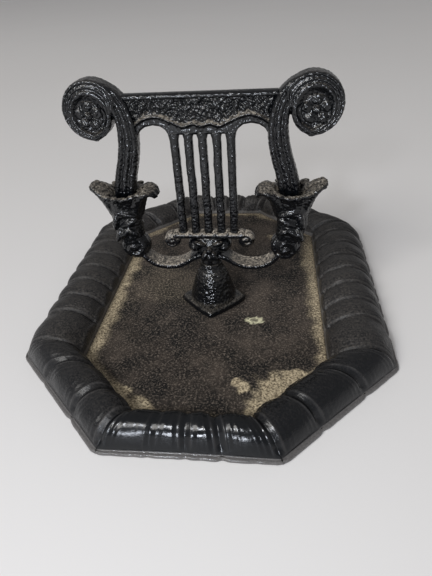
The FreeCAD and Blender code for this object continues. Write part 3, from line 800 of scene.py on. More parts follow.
def make_screw():
    head, foot, tip = HEAD_RADIUS, screw_low[2], screw_high[2]
    middle = (0, LYRE_Y)
    levels = [(head * 0.55, foot), (head * 0.97, foot), (head, foot + 0.25), (SHANK_RADIUS, foot + 4)]
    thread = np.linspace(foot + 4.4, tip - 1.6, 72)
    levels += [(SHANK_RADIUS - 0.45 + THREAD_HALF_DEPTH * math.cos(2 * math.pi * z / THREAD_PITCH), z)
               for z in thread]
    levels += [(SHANK_RADIUS - 0.9, tip - 0.5), (SHANK_RADIUS * 0.6, tip)]
    screw = skin("fixing_screw", [ring(middle, radius, level) for radius, level in levels])
    half = SLOT_HALF_WIDTH
    slot_loop = np.array([(-head - 1, -half), (head + 1, -half), (head + 1, half), (-head - 1, half)])
    slot = skin("slot", [
        np.column_stack([slot_loop + (0, LYRE_Y), np.full(4, level)])
        for level in (foot - 1, foot + SLOT_DEPTH)])
    cut(screw, slot)
    return screw


register(make_screw(), ["fixing_screw"], screw_steel)

# %% [markdown]
# ## The lyre, from the foot up
#
# The foot is a thick square plate set cornerwise, with soft bevelled edges and dust on its top. It
# is skinned from level loops and then hammered.

# %% Foot
foot_low, foot_high = box_mm("lyre_foot")
FOOT_HALF = foot_high[0]


def diamond(half, level, corner=0.12, count=96):
    """A level loop: a square set cornerwise, its corners slightly rounded."""
    angle = np.linspace(0, 2 * math.pi, count, endpoint=False)
    power = 1 + corner
    reach = (np.abs(np.cos(angle)) ** power + np.abs(np.sin(angle)) ** power) ** (-1 / power)
    return np.stack([half * reach * np.cos(angle), LYRE_Y + half * reach * np.sin(angle),
                     np.full(count, level)], 1)


def make_foot():
    top, bottom = foot_high[2], foot_low[2]
    profile = [(FOOT_HALF - 0.8, bottom), (FOOT_HALF, bottom + 1.0), (FOOT_HALF - 0.2, top - 2.8),
               (FOOT_HALF - 1.1, top - 1.2), (FOOT_HALF - 2.8, top - 0.3), (FOOT_HALF - 5, top)]
    inner = [(FOOT_HALF * share, top + 0.3) for share in (0.72, 0.6, 0.45)]
    shell = skin("foot_shell", [diamond(half, level) for half, level in profile + inner])
    return melt("lyre_foot", [shell], 0.7, 4)


foot = make_foot()
hammer(foot, 3.0, 0.5)
foot_points, foot_normals = points_of(foot), normals_of(foot)
ragged_foot = np.array([wander(x, y, 5, 4) for x, y in foot_points[:, :2]])
border = FOOT_HALF - np.abs(foot_points[:, 0]) - np.abs(foot_points[:, 1] - LYRE_Y)
mask(foot, "dust", step(0.3, 0.9, foot_normals[:, 2]) * step(9, 3, border + 4 * ragged_foot) * 0.2)
register(foot, ["lyre_foot"], gloss_enamel)

# %% [markdown]
# The trunk that stands on the foot is a bell: wide below, drawn in at the waist, with the same
# hammered surface as the rest of the lyre. It could be a turned shape from a curve. Level rings
# through a few radii give the same and need no curve object.

# %% Trunk
trunk_low, trunk_high = box_mm("lyre_trunk")
TRUNK_BASE = trunk_high[0]


def make_trunk():
    base, top = trunk_low[2], trunk_high[2]
    profile = [(TRUNK_BASE - 0.5, base - 0.6), (TRUNK_BASE + 0.4, base + 1), (TRUNK_BASE - 0.3, base + 3),
               (19.4, base + 6), (18.4, base + 10), (17.2, base + 14), (16.2, base + 18), (15.3, base + 21),
               (14.2, base + 24), (12.6, base + 27.5), (10.8, base + 30.5), (9.8, top - 1), (9.2, top + 2)]
    radii, levels = np.array(profile).T
    fine = np.linspace(0, len(profile) - 1, 60)
    smooth_radii = np.interp(fine, np.arange(len(profile)), radii)
    smooth_levels = np.interp(fine, np.arange(len(profile)), levels)
    loops = [ring((0, LYRE_Y), radius, z, 90) for radius, z in zip(smooth_radii, smooth_levels)]
    return melt("lyre_trunk", [skin("trunk_shell", loops)], 0.7, 6)


trunk = hammer(make_trunk(), 2.7, 0.75)
trunk_points, trunk_normals = points_of(trunk), normals_of(trunk)
mask(trunk, "dust", 0.2 * step(trunk_low[2] + 4, trunk_low[2], trunk_points[:, 2])
     + 0.12 * step(0.2, 0.8, trunk_normals[:, 2]))
register(trunk, ["lyre_trunk"], gloss_enamel)

# %% [markdown]
# Rounded lumps are the other half of the carver's language here: knobs, bosses and leaf tips.
# `lump` makes an egg shape with its own three radii, and `melt` sinks it into its neighbours.

# %% Lumps
def lump(centre, radii, tilt=0.0, rows=14, around=24):
    """An egg shape. tilt turns it in the lyre's plane, in degrees."""
    latitude = np.linspace(-0.5, 0.5, rows) * math.pi * 0.97
    longitude = np.linspace(0, 2 * math.pi, around, endpoint=False)
    turn = math.radians(tilt)
    loops = []
    for angle in latitude:
        x = radii[0] * math.cos(angle) * np.cos(longitude)
        y = radii[1] * math.cos(angle) * np.sin(longitude)
        z = np.full(around, radii[2] * math.sin(angle))
        loops.append(np.stack([
            centre[0] + x * math.cos(turn) - z * math.sin(turn), centre[1] + y,
            centre[2] + x * math.sin(turn) + z * math.cos(turn)], 1))
    return skin("lump", loops)


# %% [markdown]
# A ribbon or an arm is a section carried along a path in the lyre's plane. `carry` takes the path's
# points with the width at each one, evens them out along a smooth curve, and turns each section to
# stand square to the path. The section is a function of the width, so that it can carry reeds.

# %% Carry a section along a path
def smooth_path(stations, spacing=0.8):
    """Stations (x, z, width...) joined by a smooth curve and sampled evenly."""
    stations = np.asarray(stations, float)
    steps = np.linalg.norm(np.diff(stations[:, :2], axis=0), axis=1)
    knots = np.concatenate([[0], np.cumsum(steps)])
    slopes = np.gradient(stations, knots, axis=0)
    where = np.linspace(0, knots[-1], int(knots[-1] / spacing))
    cell = np.clip(np.searchsorted(knots, where, side="right") - 1, 0, len(knots) - 2)
    length = (knots[cell + 1] - knots[cell])[:, None]
    share = ((where - knots[cell]) / (knots[cell + 1] - knots[cell]))[:, None]
    a, b = stations[cell], stations[cell + 1]
    slope_a, slope_b = slopes[cell] * length, slopes[cell + 1] * length
    return ((2 * share ** 3 - 3 * share ** 2 + 1) * a + (share ** 3 - 2 * share ** 2 + share) * slope_a
            + (3 * share ** 2 - 2 * share ** 3) * b + (share ** 3 - share ** 2) * slope_b)


def carry(name, stations, section):
    """section(station) gives points (across, depth), across being to the path's left."""
    path = smooth_path(stations)
    heading = np.gradient(path[:, :2], axis=0)
    heading /= np.linalg.norm(heading, axis=1)[:, None]
    loops = []
    for station, ahead in zip(path, heading):
        across, depth = np.asarray(section(station)).T
        loops.append(np.stack([
            station[0] - ahead[1] * across, LYRE_Y + depth, station[1] + ahead[0] * across], 1))
    return skin(name, loops)


def pillow_section(half_width, half_depth, power=3.0, count=40):
    """A rounded oblong section."""
    angle = np.linspace(0, 2 * math.pi, count, endpoint=False)
    cosine, sine = np.cos(angle), np.sin(angle)
    reach = (np.abs(cosine) ** power + np.abs(sine) ** power) ** (-1 / power)
    return np.stack([half_width * reach * cosine, half_depth * reach * sine], 1)


# %% [markdown]
# ## Tails and heart
#
# From the bottom of each horn a ribbon sweeps inwards under the bridge and ends beside the heart,
# under a small round knob. One face of the ribbon is a shallow trough between two edges: the top
# face on the right tail, and the underside on the left one, whose path runs the other way. Pale
# dust lies on top of both. The heart is a block with a few bosses and a leaf on each face.

# %% Tails
heart_low, heart_high = box_mm("lyre_heart")
FRAME_HALF_DEPTH = (heart_high[1] - heart_low[1]) / 2
TAIL_THICKNESS, TROUGH_DEPTH = 5.5, 1.3
SIDES = (("left", -1), ("right", 1))
KNOB_PLACE, KNOB_RADIUS = (12.8, 65.6), 6.2
TAIL_LINE = (
    (60.0, 59.5), (56.0, 53.5), (50.5, 49.0), (43.0, 46.2), (35.5, 45.6), (27.5, 47.0), (20.5, 50.4),
    (14.0, 54.5), (7.0, 57.0))


def tail_section(station):
    half_width, half_depth = TAIL_THICKNESS / 2, FRAME_HALF_DEPTH
    loop = pillow_section(half_width, half_depth, 4.0, 56)
    hollow = TROUGH_DEPTH * np.clip(1 - (loop[:, 1] / (half_depth - 1.5)) ** 4, 0, 1)
    grooved = loop[:, 0] < half_width * -0.6
    loop[grooved, 0] += hollow[grooved]
    return loop


def make_tail(side, sign):
    parts = [carry("ribbon", [(sign * x, z) for x, z in TAIL_LINE], tail_section)]
    x, z = KNOB_PLACE
    parts.append(lump((sign * x, LYRE_Y, z), (KNOB_RADIUS, FRAME_HALF_DEPTH + 0.6, KNOB_RADIUS)))
    parts.append(lump((sign * x, LYRE_Y, z), (KNOB_RADIUS * 0.9, FRAME_HALF_DEPTH + 1.2, KNOB_RADIUS * 0.6)))
    return melt("tail_" + side, parts, 0.6, 3)


# %% [markdown]
# The dust settles where a face looks up. `settle` works that out from the normals and breaks it up
# with noise, and each piece says how thick it lies there.

# %% Dust that has settled
def settle(piece, amount, low=0.35, high=0.9, where=None, base=0.0):
    points, normals = points_of(piece), normals_of(piece)
    patchy = np.array([wander(x + z, y, 5, 11) for x, y, z in points])
    dust = amount * step(low, high, normals[:, 2] + 0.25 * patchy)
    if where is not None:
        dust = dust * where(points)
    mask(piece, "dust", dust + base)
    return piece


for side, sign in SIDES:
    tail = hammer(make_tail(side, sign), 2.4, 0.3)
    settle(tail, 1.0, 0.45, 0.85, lambda p: step(16, 20, np.abs(p[:, 0])))
    register(tail, ["tail_" + side], gloss_enamel)

# %% Heart
def make_heart():
    parts = [
        lump((0, LYRE_Y, 60), (11.0, FRAME_HALF_DEPTH - 0.5, 14)),
        lump((0, LYRE_Y, 48), (8.6, FRAME_HALF_DEPTH - 0.6, 6)),
        lump((0, LYRE_Y, 70), (13, 5.5, 4.5)),
    ]
    for face in (-1, 1):
        depth = LYRE_Y + face * FRAME_HALF_DEPTH
        parts += [
            lump((0, depth + face * 0.8, 63.5), (2.6, 2.8, 3.2)),
            lump((-4.4, depth - face * 0.4, 57), (2.6, 2.8, 5.4), -28),
            lump((4.4, depth - face * 0.4, 57), (2.6, 2.8, 5.4), 28),
            lump((0, depth, 54), (2.3, 2.6, 5.6)),
            lump((7.4, depth - face * 0.5, 69.3), (5.2, 2.6, 1.9), 24),
            lump((-7.4, depth - face * 0.5, 69.3), (5.2, 2.6, 1.9), -24),
        ]
    return melt("lyre_heart", parts, 0.6, 2)


heart = hammer(make_heart(), 2.2, 0.4)
settle(heart, 0.3, 0.3, 0.9)
register(heart, ["lyre_heart"], gloss_enamel)

# %% [markdown]
# ## Bridge and strings
#
# The strings stand on a bar whose two ends roll down into small curls, like a tiny scroll. Dust
# lies in little mounds on it between the strings. A curl is a disc drawn in rings, whose faces
# sink and rise with the angle and the distance together, which makes a spiral.

# %% Bridge and its curls
bridge_low, bridge_high = box_mm("string_bridge")
curl_low, curl_high = box_mm("bridge_curl_right")
CURL_X, CURL_Z = (curl_low[0] + curl_high[0]) / 2, (curl_low[2] + curl_high[2]) / 2
CURL_RADIUS = (curl_high[2] - curl_low[2]) / 2
BRIDGE_HALF_DEPTH = (bridge_high[1] - bridge_low[1]) / 2


def scroll_disc(centre, radius, half_depth, turns, groove, sign, dome=0.35, name="disc"):
    """A round boss whose two faces carry a spiral groove and swell towards the middle."""
    count, rows = 72, 30
    angle = np.linspace(0, 2 * math.pi, count, endpoint=False)
    reach = np.concatenate([np.linspace(0.04, 0.97, rows), [1.0]])
    loops = []
    for face in (-1, 1):
        order = reach if face < 0 else reach[::-1]
        for share in order:
            spiral = np.cos(2 * math.pi * (turns * share - sign * angle / (2 * math.pi)))
            rounded = (1 - share ** 5) ** 0.5
            domed = 1 - dome + dome * math.sqrt(max(1 - share ** 2, 0))
            depth = half_depth * domed * (0.55 + 0.45 * rounded)
            depth = depth + groove * (spiral - 1) * 0.5 * step(0, 0.2, share) * step(1.0, 0.93, share)
            loops.append(np.stack([
                centre[0] + radius * share * np.cos(angle),
                centre[1] + face * depth,
                centre[2] + radius * share * np.sin(angle)], 1))
    return skin(name, loops)


def bridge_section(station):
    return pillow_section((bridge_high[2] - bridge_low[2]) / 2, BRIDGE_HALF_DEPTH, 4.0, 48)


middle_z = (bridge_low[2] + bridge_high[2]) / 2
bridge_line = [(x, middle_z) for x in (-CURL_X + 1, -14, 14, CURL_X - 1)]
bridge = carry("string_bridge", bridge_line, bridge_section)
string_low, string_high = box_mm("string_4")
STRING_PITCH = (string_low[0] + string_high[0]) / 2
MOUND = (2.6, BRIDGE_HALF_DEPTH - 0.8, 2.1)
mounds = [lump((STRING_PITCH * place, LYRE_Y - 0.6, bridge_high[2] - 0.2), MOUND)
          for place in (-2.55, -1.5, -0.5, 0.5, 1.5, 2.55)]
bridge = melt("string_bridge", [bridge] + mounds, 0.6, 2)
settle(hammer(bridge, 2.4, 0.3), 1.0, 0.2, 0.6)
register(bridge, ["string_bridge"], gloss_enamel)
for side, sign in SIDES:
    name = "bridge_curl_" + side
    curl = scroll_disc((sign * CURL_X, LYRE_Y, CURL_Z), CURL_RADIUS, BRIDGE_HALF_DEPTH, 1.6, 0.8, sign, 0.2)
    curl = melt(name, [curl], 0.5, 1)
    settle(curl, 1.0, 0.05, 0.5)
    register(curl, [name], gloss_enamel)

# %% [markdown]
# The five strings are thick bars of a rounded oblong section. They are not quite straight or even,
# which is what a hand-carved pattern gives, so a slow noise bends each one and changes its width,
# and both ends are a little wider where they run into the bridge and the crossbar.

# %% Strings
def make_string(number):
    low, high = box_mm(f"string_{number}")
    middle = (low[0] + high[0]) / 2
    half_width, half_depth = (high[0] - low[0]) / 2, (high[1] - low[1]) / 2
    loops = []
    for z in np.linspace(low[2] - 0.6, high[2] + 0.5, 110):
        sway = 0.45 * noise.noise(Vector((number * 7.3, z / 13, 0)))
        uneven = 1 + 0.07 * noise.noise(Vector((z / 7, number * 3.1, 4)))
        spread = 1 + 0.3 * float(step(high[2] - 6, high[2], z)) + 0.16 * float(step(low[2] + 4, low[2], z))
        loop = pillow_section(half_width * uneven * spread, half_depth * uneven, 2.6, 36)
        loops.append(np.stack([middle + sway + loop[:, 0], LYRE_Y + loop[:, 1], np.full(len(loop), z)], 1))
    return skin(f"string_{number}", loops)


for number in range(1, 6):
    string = hammer(make_string(number), 2.6, 0.25)
    settle(string, 0.1, 0.2, 0.7)
    register(string, [f"string_{number}"], gloss_enamel)

# %% [markdown]
# ## Crossbar
#
# The bar that a boot is drawn across. Its top edge is a plain rounded rail. Below it lies a sunk
# panel of pebbles 2.8 mm apart, closed underneath by a bead that waves over the two side openings and
# scallops above the strings, and under the bead a plain apron. Each upright section is drawn from
# its lower edge to the rail, front and back alike, and the sections are skinned along the bar.

# %% Crossbar
BEAD_WAVE = (
    (-57, 165.0), (-51.3, 168.4), (-44.4, 173.2), (-36.5, 175.4), (-30.6, 174.4), (-21.7, 170.9),
    (-13.8, 167.0), (-6.4, 169.6), (0, 167.4), (6.4, 169.6), (13.8, 167.0), (21.7, 170.9),
    (30.6, 174.4), (36.5, 175.4), (44.4, 173.2), (51.3, 168.4), (57, 165.0))
OPENING_WAVE = (
    (-57, 156), (-49.3, 160.5), (-47.2, 164), (-43, 166.8), (-37, 167.9), (-31.4, 167), (-27.6, 164.2),
    (-25.8, 161), (-24.9, 160), (24.9, 160), (25.8, 161), (27.6, 164.2), (31.4, 167), (37, 167.9),
    (43, 166.8), (47.2, 164), (49.3, 160.5), (57, 156))
RAIL_HEIGHT, PANEL_SINK = 3.4, 1.25
BEAD_HEIGHT, BEAD_WIDTH = 1.75, 1.35
PEBBLE_SPACING, PEBBLE_HEIGHT = 2.8, 2.0
SCALLOP_REACH, SCALLOP_HEIGHT = 25.5, 0.45
BAR_HALF_DEPTH = (bar_high[1] - bar_low[1]) / 2


def make_crossbar():
    bead_x, bead_z = np.array(BEAD_WAVE).T
    open_x, open_z = np.array(OPENING_WAVE).T
    reach = bar_high[0] + 1.5
    loops = []
    for x in np.linspace(-reach, reach, 210):
        bead = np.interp(x, bead_x, bead_z)
        near = np.interp([x - 1.5, x + 1.5], bead_x, bead_z)
        bead = (bead + near.sum()) / 3
        lower = np.interp(x, open_x, open_z)
        if abs(x) < SCALLOP_REACH:
            lower += SCALLOP_HEIGHT * math.cos(2 * math.pi * (x / STRING_PITCH - 0.5)) - 0.05
        z = np.linspace(lower, bar_high[2], 84)
        panel = BAR_HALF_DEPTH - PANEL_SINK
        rail = step(bar_high[2] - RAIL_HEIGHT - 0.9, bar_high[2] - RAIL_HEIGHT + 0.2, z)
        apron = step(bead + 0.4, bead - 0.4, z)
        depth = panel + PANEL_SINK * rail + 0.35 * apron + BEAD_HEIGHT * bell(z - bead, BEAD_WIDTH)
        top_round = np.clip((bar_high[2] - z) / 2.2, 0, 1)
        low_round = np.clip((z - lower) / 2.0, 0, 1)
        depth = depth * np.sqrt(1 - (1 - top_round) ** 2 * 0.93) * np.sqrt(1 - (1 - low_round) ** 2 * 0.8)
        bumps = np.array([
            0.4 - 1.4 * noise.voronoi(Vector((x, 0, level)) / PEBBLE_SPACING)[0][0] ** 2 for level in z])
        pebbled = step(bead + 1.5, bead + 3, z) * (1 - rail)
        depth = depth + bumps * (PEBBLE_HEIGHT * pebbled + 0.3)
        front = np.stack([np.full(len(z), x), LYRE_Y - depth, z], 1)
        back = np.stack([np.full(len(z), x), LYRE_Y + depth, z], 1)[::-1]
        loops.append(np.vstack([front, back]))
    return skin("crossbar", loops)


crossbar = make_crossbar()
bead_line_x, bead_line_z = np.array(BEAD_WAVE).T


def above_bead(points):
    near_bead = points[:, 2] - np.interp(points[:, 0], bead_line_x, bead_line_z)
    return bell(near_bead - 1.6, 1.6)


settle(crossbar, 0.6, 0.1, 0.7, above_bead)
register(crossbar, ["crossbar"], gloss_enamel)

# %% [markdown]
# ## Arms and volutes
#
# Each arm stands in the mouth of a horn, bows inwards and rolls over at the top into a volute. All
# the way it carries three reeds, rounded ribs with two grooves between them, that draw together
# around the roll. The arm is a carried section, and the volute a disc drawn in rings around its
# eye. Melted together they make one piece, as the reeds ask for.

# %% Reeded arm
ARM_LINE = (
    (67.4, 108.5, 16.8), (66.8, 115.2, 17.0), (64.2, 128, 16.8), (60.2, 141.8, 16.3), (57.6, 154.6, 15.9),
    (57.0, 166.4, 15.2), (58.6, 177.6, 14.0), (62.6, 187.4, 12.4), (68.2, 193.6, 10.0), (74.4, 197.4, 7.6),
    (79.6, 198.9, 5.4))
ARM_HALF_DEPTH = 7.0
GROOVE = 1.6


def reeded_section(station):
    """Three reeds on the front and on the back, between rounded edges."""
    half_width = station[2] / 2
    across = np.linspace(-1, 1, 41)
    edge = np.sqrt(1 - np.abs(across) ** 6)
    grooves = GROOVE * (bell(np.abs(across) - 0.34, 0.15))
    depth = ARM_HALF_DEPTH * (0.35 + 0.65 * edge) - grooves
    front = np.stack([across * half_width, -depth], 1)
    back = np.stack([across * half_width, depth], 1)[::-1]
    return np.vstack([front, back])


# %% Volute around its eye
eye_low, eye_high = box_mm("rosette_right_front")
EYE = ((eye_low[0] + eye_high[0]) / 2, (eye_low[2] + eye_high[2]) / 2)
roll_low, roll_high = box_mm("volute_right")
ROLL_RADIUS = (roll_high[2] - roll_low[2]) / 2
ROLL_CENTRE = (roll_high[0] - ROLL_RADIUS, roll_high[2] - ROLL_RADIUS)
TUCK_RADIUS = 15.0
ROLL_HALF_DEPTH = (roll_high[1] - roll_low[1]) / 2
DISH_SINK = 3.0


def roll_outline():
    """Distance from the eye to the roll's edge, and the reeded band's width, by angle."""
    turn = np.radians(np.linspace(150, -210, 361))
    degrees = np.degrees(turn)
    loss = ROLL_RADIUS - TUCK_RADIUS
    radius = np.where(degrees > -90, ROLL_RADIUS, ROLL_RADIUS - loss * (-90 - degrees) / 80)
    radius = np.where(degrees < -170, TUCK_RADIUS + loss * (-170 - degrees) / 40, radius)
    radius += 0.7 * bell(degrees + 92, 5)
    band = np.interp(-degrees, [-150, -120, 0, 90, 170, 210], [11.5, 11, 7.6, 4.6, 3.0, 11.5])
    x = ROLL_CENTRE[0] + radius * np.cos(turn) - EYE[0]
    z = ROLL_CENTRE[1] + radius * np.sin(turn) - EYE[1]
    angle = np.arctan2(z, x)
    order = np.argsort(angle)
    return angle[order], np.hypot(x, z)[order], band[order]


def make_roll(sign):
    known, edge_reach, band_width = roll_outline()
    angle = np.linspace(-math.pi, math.pi, 240, endpoint=False)
    edge = np.interp(angle, known, edge_reach, period=2 * math.pi)
    band = np.interp(angle, known, band_width, period=2 * math.pi)
    loops = []
    for face in (-1, 1):
        shares = np.concatenate([np.linspace(0.02, 0.985, 64), [1.0]])
        for share in shares if face < 0 else shares[::-1]:
            reach = edge * share
            inset = edge - reach
            place = inset / band * 3
            grooves = GROOVE * (bell(place - 1.0, 0.32) + bell(place - 2.0, 0.32)) * step(3.2, 2.7, place)
            sink = DISH_SINK * step(2.6, 4.4, place)
            rounded = np.sqrt(1 - (1 - np.clip(inset / 2.4, 0, 1)) ** 2)
            depth = ROLL_HALF_DEPTH - 2.6 * (1 - rounded) - grooves - sink
            loops.append(np.stack([
                sign * (EYE[0] + reach * np.cos(angle)), LYRE_Y + face * depth,
                EYE[1] + reach * np.sin(angle)], 1))
    return skin("roll", loops)


def make_scroll(side, sign):
    arm_line = [(sign * x, z, width) for x, z, width in ARM_LINE]
    return melt("scroll_" + side, [carry("arm", arm_line, reeded_section), make_roll(sign)], 0.6, 2)


def near_eye(points):
    """Dust lies thickest in the dish, and thins out over the reeds."""
    return step(30, 16, np.hypot(np.abs(points[:, 0]) - EYE[0], points[:, 2] - EYE[1]))


for side, sign in SIDES:
    scroll = hammer(make_scroll(side, sign), 2.3, 0.55)
    settle(scroll, 0.3, 0.5, 1.0, near_eye)
    register(scroll, ["arm_" + side, "volute_" + side], gloss_enamel)

# %% [markdown]
# A flower sits in each eye: five soft round petals about a centre boss, blurred by many coats of
# paint. Its surface is a height over the dish, so it is drawn as rings whose points rise and fall
# with the nearest petal.

# %% Rosettes
PETAL_PLACE, PETAL_RADIUS, BOSS_RADIUS = 7.2, 4.6, 3.4


def petal_height(x, z):
    height = np.full(np.shape(x), 0.7)
    for number in range(5):
        angle = math.radians(90 + 72 * number)
        away = np.hypot(x - PETAL_PLACE * math.cos(angle), z - PETAL_PLACE * math.sin(angle))
        height = np.maximum(height, 2.3 * np.clip(1 - (away / PETAL_RADIUS) ** 2, 0, 1) ** 0.7)
    away = np.hypot(x, z)
    boss = 3.2 * np.sqrt(np.clip(1 - (away / BOSS_RADIUS) ** 2, 0, 1))
    return np.maximum(height, boss)


def make_rosette(side, sign, face, facing):
    name = f"rosette_{side}_{face}"
    low, high = box_mm(name)
    seat_y = high[1] if facing < 0 else low[1]
    angle = np.linspace(0, 2 * math.pi, 90, endpoint=False)
    radius = (high[0] - low[0]) / 2
    loops = []
    for share in np.concatenate([[1.0], np.linspace(0.99, 0.03, 40)]):
        x, z = radius * share * np.cos(angle), radius * share * np.sin(angle)
        rise = petal_height(x, z) * step(1.0, 0.93, share)
        loops.append(np.stack([sign * EYE[0] + x, seat_y + facing * (rise + 0.1), EYE[1] + z], 1))
    underside = loops[0].copy()
    underside[:, 1] = seat_y - facing * 0.8
    piece = skin(name, [underside] + loops)
    settle(hammer(piece, 2.2, 0.9), 0.2, 0.4, 0.9)
    return register(piece, [name], gloss_enamel)


for side, sign in SIDES:
    for face, facing in (("front", -1), ("back", 1)):
        make_rosette(side, sign, face, facing)

# %% [markdown]
# ## Horns
#
# The horns of plenty that the arms stand in. From below: a leaf curl like a snail, a body wrapped
# in overlapping leaf rolls, and a flared mouth. Two thick leaf lobes grow out of the mouth, one
# outwards that ends in a rolled tip, and one towards the strings that droops at its end. Brown
# dust lies in the mouth around the arm. The cup of the mouth is a wall with a thickness, turned
# around the arm, with a lip that waves.

# %% Cup of the horn mouth
horn_low, horn_high = box_mm("horn_mouth_right")
MOUTH_X = (horn_low[0] + horn_high[0]) / 2 + 1.2
NECK_RADIUS, NECK_LEVEL = 13.4, 96.0
CUP_LIP = 114.5
WALL = 3.4


def cup_line(angle):
    """Places (radius, level) of the wall's middle at one angle, from the neck to the lip."""
    wave = math.cos(5 * angle + 0.6)
    sideways = math.cos(angle) ** 2
    radius, level = 15.4 + 1.0 * sideways + 0.7 * wave, CUP_LIP + 2.0 * sideways + 1.0 * wave
    return np.array([
        (NECK_RADIUS - 1.4, NECK_LEVEL), (NECK_RADIUS - 1.2, NECK_LEVEL + 6),
        (NECK_RADIUS - 0.2, NECK_LEVEL + 12), (radius - 1.0, level - 3.2), (radius + 0.8, level)])


def make_cup(sign):
    along = 30
    wall = []
    for angle in np.linspace(0, 2 * math.pi, 90, endpoint=False):
        line = smooth_path(cup_line(angle), 0.1)
        line = line[np.linspace(0, len(line) - 1, along).astype(int)]
        heading = np.gradient(line, axis=0)
        heading /= np.linalg.norm(heading, axis=1)[:, None]
        sideways = np.stack([heading[:, 1], -heading[:, 0]], 1)
        half = WALL / 2 * np.sqrt(np.clip((1.02 - np.linspace(0, 1, along)) * 12, 0, 1))
        outer, inner = line + sideways * half[:, None], (line - sideways * half[:, None])[::-1]
        inner = inner[inner[:, 1] > NECK_LEVEL + 11]
        padding = np.repeat(inner[-1:], along - len(inner), axis=0)
        profile = np.vstack([outer, inner, padding])
        x = sign * (MOUTH_X + profile[:, 0] * math.cos(angle))
        y = LYRE_Y + profile[:, 0] * 0.92 * math.sin(angle)
        wall.append(np.stack([x, y, profile[:, 1]], 1))
    return skin("cup", np.array(wall).transpose(1, 0, 2))


# %% [markdown]
# A lobe flares out of the body like one side of a trumpet. It is a tongue carried along a path in
# the lyre's plane: thick where it leaves the body, so that its underside is one hollow curve, and
# thin at its end. Three ribs run along it, which makes its edge scalloped, and lumps at its end
# make the roll of the leaf tip.

# %% Leaf lobes
OUTER_LOBE = (
    (74.5, 95.0, 15.0, 8.5), (78.5, 104.5, 13.0, 10.5), (83.0, 112.0, 10.0, 12.0), (88.0, 117.0, 7.4, 11.5),
    (92.6, 119.6, 5.6, 8.5), (96.4, 120.2, 3.2, 4.5))
INNER_LOBE = (
    (63.0, 95.0, 15.0, 8.5), (59.0, 104.5, 13.0, 11.0), (54.0, 112.0, 9.6, 13.0), (48.6, 115.8, 7.0, 13.5),
    (44.0, 115.0, 5.8, 11.0), (41.2, 110.8, 4.2, 6.5))


def lobe_section(station):
    half_thickness, half_depth = station[2] / 2, station[3]
    loop = pillow_section(half_thickness, half_depth, 2.4, 56)
    ribs = 1.0 * np.cos(3 * math.pi * loop[:, 1] / half_depth)
    loop[:, 0] += ribs * (1 - (loop[:, 1] / half_depth) ** 2)
    return loop


def make_lobes(sign):
    parts = []
    for line in (OUTER_LOBE, INNER_LOBE):
        parts.append(carry("lobe", [(sign * x, *rest) for x, *rest in line], lobe_section))
        tip_x, tip_z = line[-2][0], line[-2][1]
        for across in (-5.4, 0, 5.4):
            parts.append(lump((sign * tip_x, LYRE_Y + across, tip_z + 0.2), (3.0, 3.2, 3.0)))
        side_x, side_z = line[-4][0], line[-4][1]
        for across in (-9.4, 9.4):
            parts.append(lump((sign * side_x, LYRE_Y + across, side_z + 2.4), (4.6, 3.4, 2.8)))
    return parts


# %% [markdown]
# The body is drawn in level rings. Round it lie rolled leaf edges, which are tilted lumps on the
# front and the back, and its outer side is ribbed like a hanging leaf.

# %% Horn body and curl
horn_curl_low, horn_curl_high = box_mm("horn_curl_right")
HORN_CURL_X = (horn_curl_low[0] + horn_curl_high[0]) / 2
HORN_CURL_Z = (horn_curl_low[2] + horn_curl_high[2]) / 2
HORN_CURL_RADIUS = (horn_curl_high[0] - horn_curl_low[0]) / 2
HORN_CURL_HALF_DEPTH = (horn_curl_high[1] - horn_curl_low[1]) / 2
LEAF_ROLLS = (
    (67.5, 99.0, 9.5, 2.9, 16), (76.5, 92.0, 3.0, 8.5, 12), (66.0, 90.5, 8.5, 3.2, -24),
    (63.5, 82.5, 5.5, 2.6, 34), (71.5, 80.5, 8.5, 3.0, -38), (76.0, 79.0, 2.4, 7.0, 20))
LEAF_FACE, LIP_FACE = 10.2, 15.2
LIP_LUMPS = ((-10.5, 0.8, 4.4), (-3.6, -0.9, 3.8), (2.6, -0.7, 3.4), (9.4, 0.9, 4.6))


def make_horn_body(sign):
    angle = np.linspace(0, 2 * math.pi, 110, endpoint=False)
    loops = []
    for z in np.linspace(HORN_CURL_Z - 4, NECK_LEVEL + 10, 96):
        radius = np.interp(z, [HORN_CURL_Z - 4, 76, 84, 92, 98, 106],
                           [9.5, 11.6, 12.4, 12.2, 12.6, 12.8]) + np.zeros_like(angle)
        outer_side = np.clip(np.cos(angle), 0, 1)
        radius += 0.8 * np.cos(13 * angle) * outer_side * step(104, 94, z)
        centre = np.interp(z, [HORN_CURL_Z, 76, 84, 101], [HORN_CURL_X + 1, 68.2, 69.6, MOUTH_X])
        loops.append(np.stack([
            sign * (centre + radius * np.cos(angle)), LYRE_Y + 0.92 * radius * np.sin(angle),
            np.full(len(angle), z)], 1))
    return skin("horn_body", loops)


def make_leaf_rolls(sign):
    parts = []
    for across, level, reach in LIP_LUMPS:
        for face in (-1, 1):
            place = (sign * (MOUTH_X + across), LYRE_Y + face * LIP_FACE, CUP_LIP + level)
            parts.append(lump(place, (reach, 2.7, 2.1), sign * across * 1.6))
    for x, z, reach, thick, tilt in LEAF_ROLLS:
        for face in (-1, 1):
            parts.append(lump((sign * x, LYRE_Y + face * LEAF_FACE, z), (reach, 3.6, thick), sign * tilt))
    return parts


def make_horn(side, sign):
    centre = (sign * HORN_CURL_X, LYRE_Y, HORN_CURL_Z)
    curl = scroll_disc(centre, HORN_CURL_RADIUS, HORN_CURL_HALF_DEPTH, 1.5, 2.0, -sign, 0.5)
    parts = [make_cup(sign), make_horn_body(sign), curl] + make_lobes(sign) + make_leaf_rolls(sign)
    return melt("horn_" + side, parts, 0.65, 2)


def mouth_dust(points):
    return step(104, 112, points[:, 2])


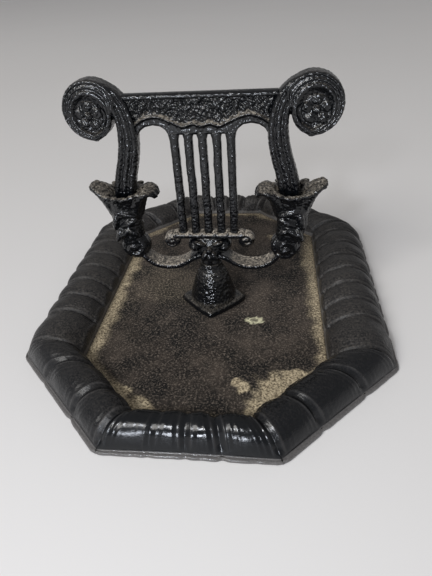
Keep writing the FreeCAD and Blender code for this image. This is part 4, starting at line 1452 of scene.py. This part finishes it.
for side, sign in SIDES:
    horn = hammer(make_horn(side, sign), 2.3, 0.5)
    settle(horn, 0.55, 0.35, 0.95, mouth_dust)
    register(horn, ["horn_" + side, "horn_mouth_" + side, "horn_curl_" + side], gloss_enamel)

# %% [markdown]
# ## Floor, light and world
#
# The tray stands on a plain pale floor, large enough to fill the view.

# %% Pale floor
STAGE_HALF = 6000


def make_stage():
    half = STAGE_HALF
    corners = [(-half, -half, 0), (half, -half, 0), (half, half, 0), (-half, half, 0)]
    floor = new_piece("pale_floor", corners, [(0, 1, 2, 3)])
    floor.data.shade_flat()
    material, tree = new_material("pale_painted_board")
    place = add(tree, "TexCoord").outputs["Object"]
    clouds = add(tree, "TexNoise", {"Vector": place, "Scale": per_mm(700), "Detail": 2})
    colour = add(tree, "MixRGB", {
        "Fac": clouds.outputs["Fac"], "Color1": linear("#e0dedd"), "Color2": linear("#e4e3e2")})
    surface = add(tree, "BsdfPrincipled", {"Base Color": colour.outputs[0], "Roughness": 0.55})
    finish_material(tree, surface)
    floor.data.materials.append(material)
    return floor


make_stage()
print("floor", 2 * STAGE_HALF * MM, "m across")

# %% [markdown]
# A broad soft light stands well back at the front left. A small one beside the camera and a low one
# in front put crisp glints on the bumps. Pale grey surroundings fill the shadows.

# %% Lights and world
def area_light(name, place, target, width, height, watts, hex_colour):
    lamp = bpy.data.lights.new(name, "AREA")
    lamp.shape, lamp.size, lamp.size_y = "RECTANGLE", width, height
    lamp.energy, lamp.color = watts, linear(hex_colour)[:3]
    holder = new_object(name, lamp)
    holder.location = place
    holder.rotation_euler = (Vector(target) - Vector(place)).to_track_quat("-Z", "Y").to_euler()


area_light("window", (-2.6, -3.4, 3.6), (0, 0.3, 0), 2.4, 1.8, 160, "#fffdf9")
area_light("lamp", (-0.12, -0.62, 0.44), (0, -0.02, 0.1), 0.06, 0.05, 1.3, "#f6f9ff")
area_light("low_window", (-0.3, -1.75, 0.36), (0, -0.1, 0.09), 0.4, 0.14, 13, "#eef4ff")

world = bpy.data.worlds.new("pale_room")
bpy.context.scene.world = world
world.use_nodes = True
background = world.node_tree.nodes["Background"]
background.inputs["Color"].default_value = linear("#e8e7e8")
background.inputs["Strength"].default_value = 0.42
bpy.context.scene.view_settings.view_transform = "Standard"
print("three lights and a pale room")

# %% Finish
print("scene built")
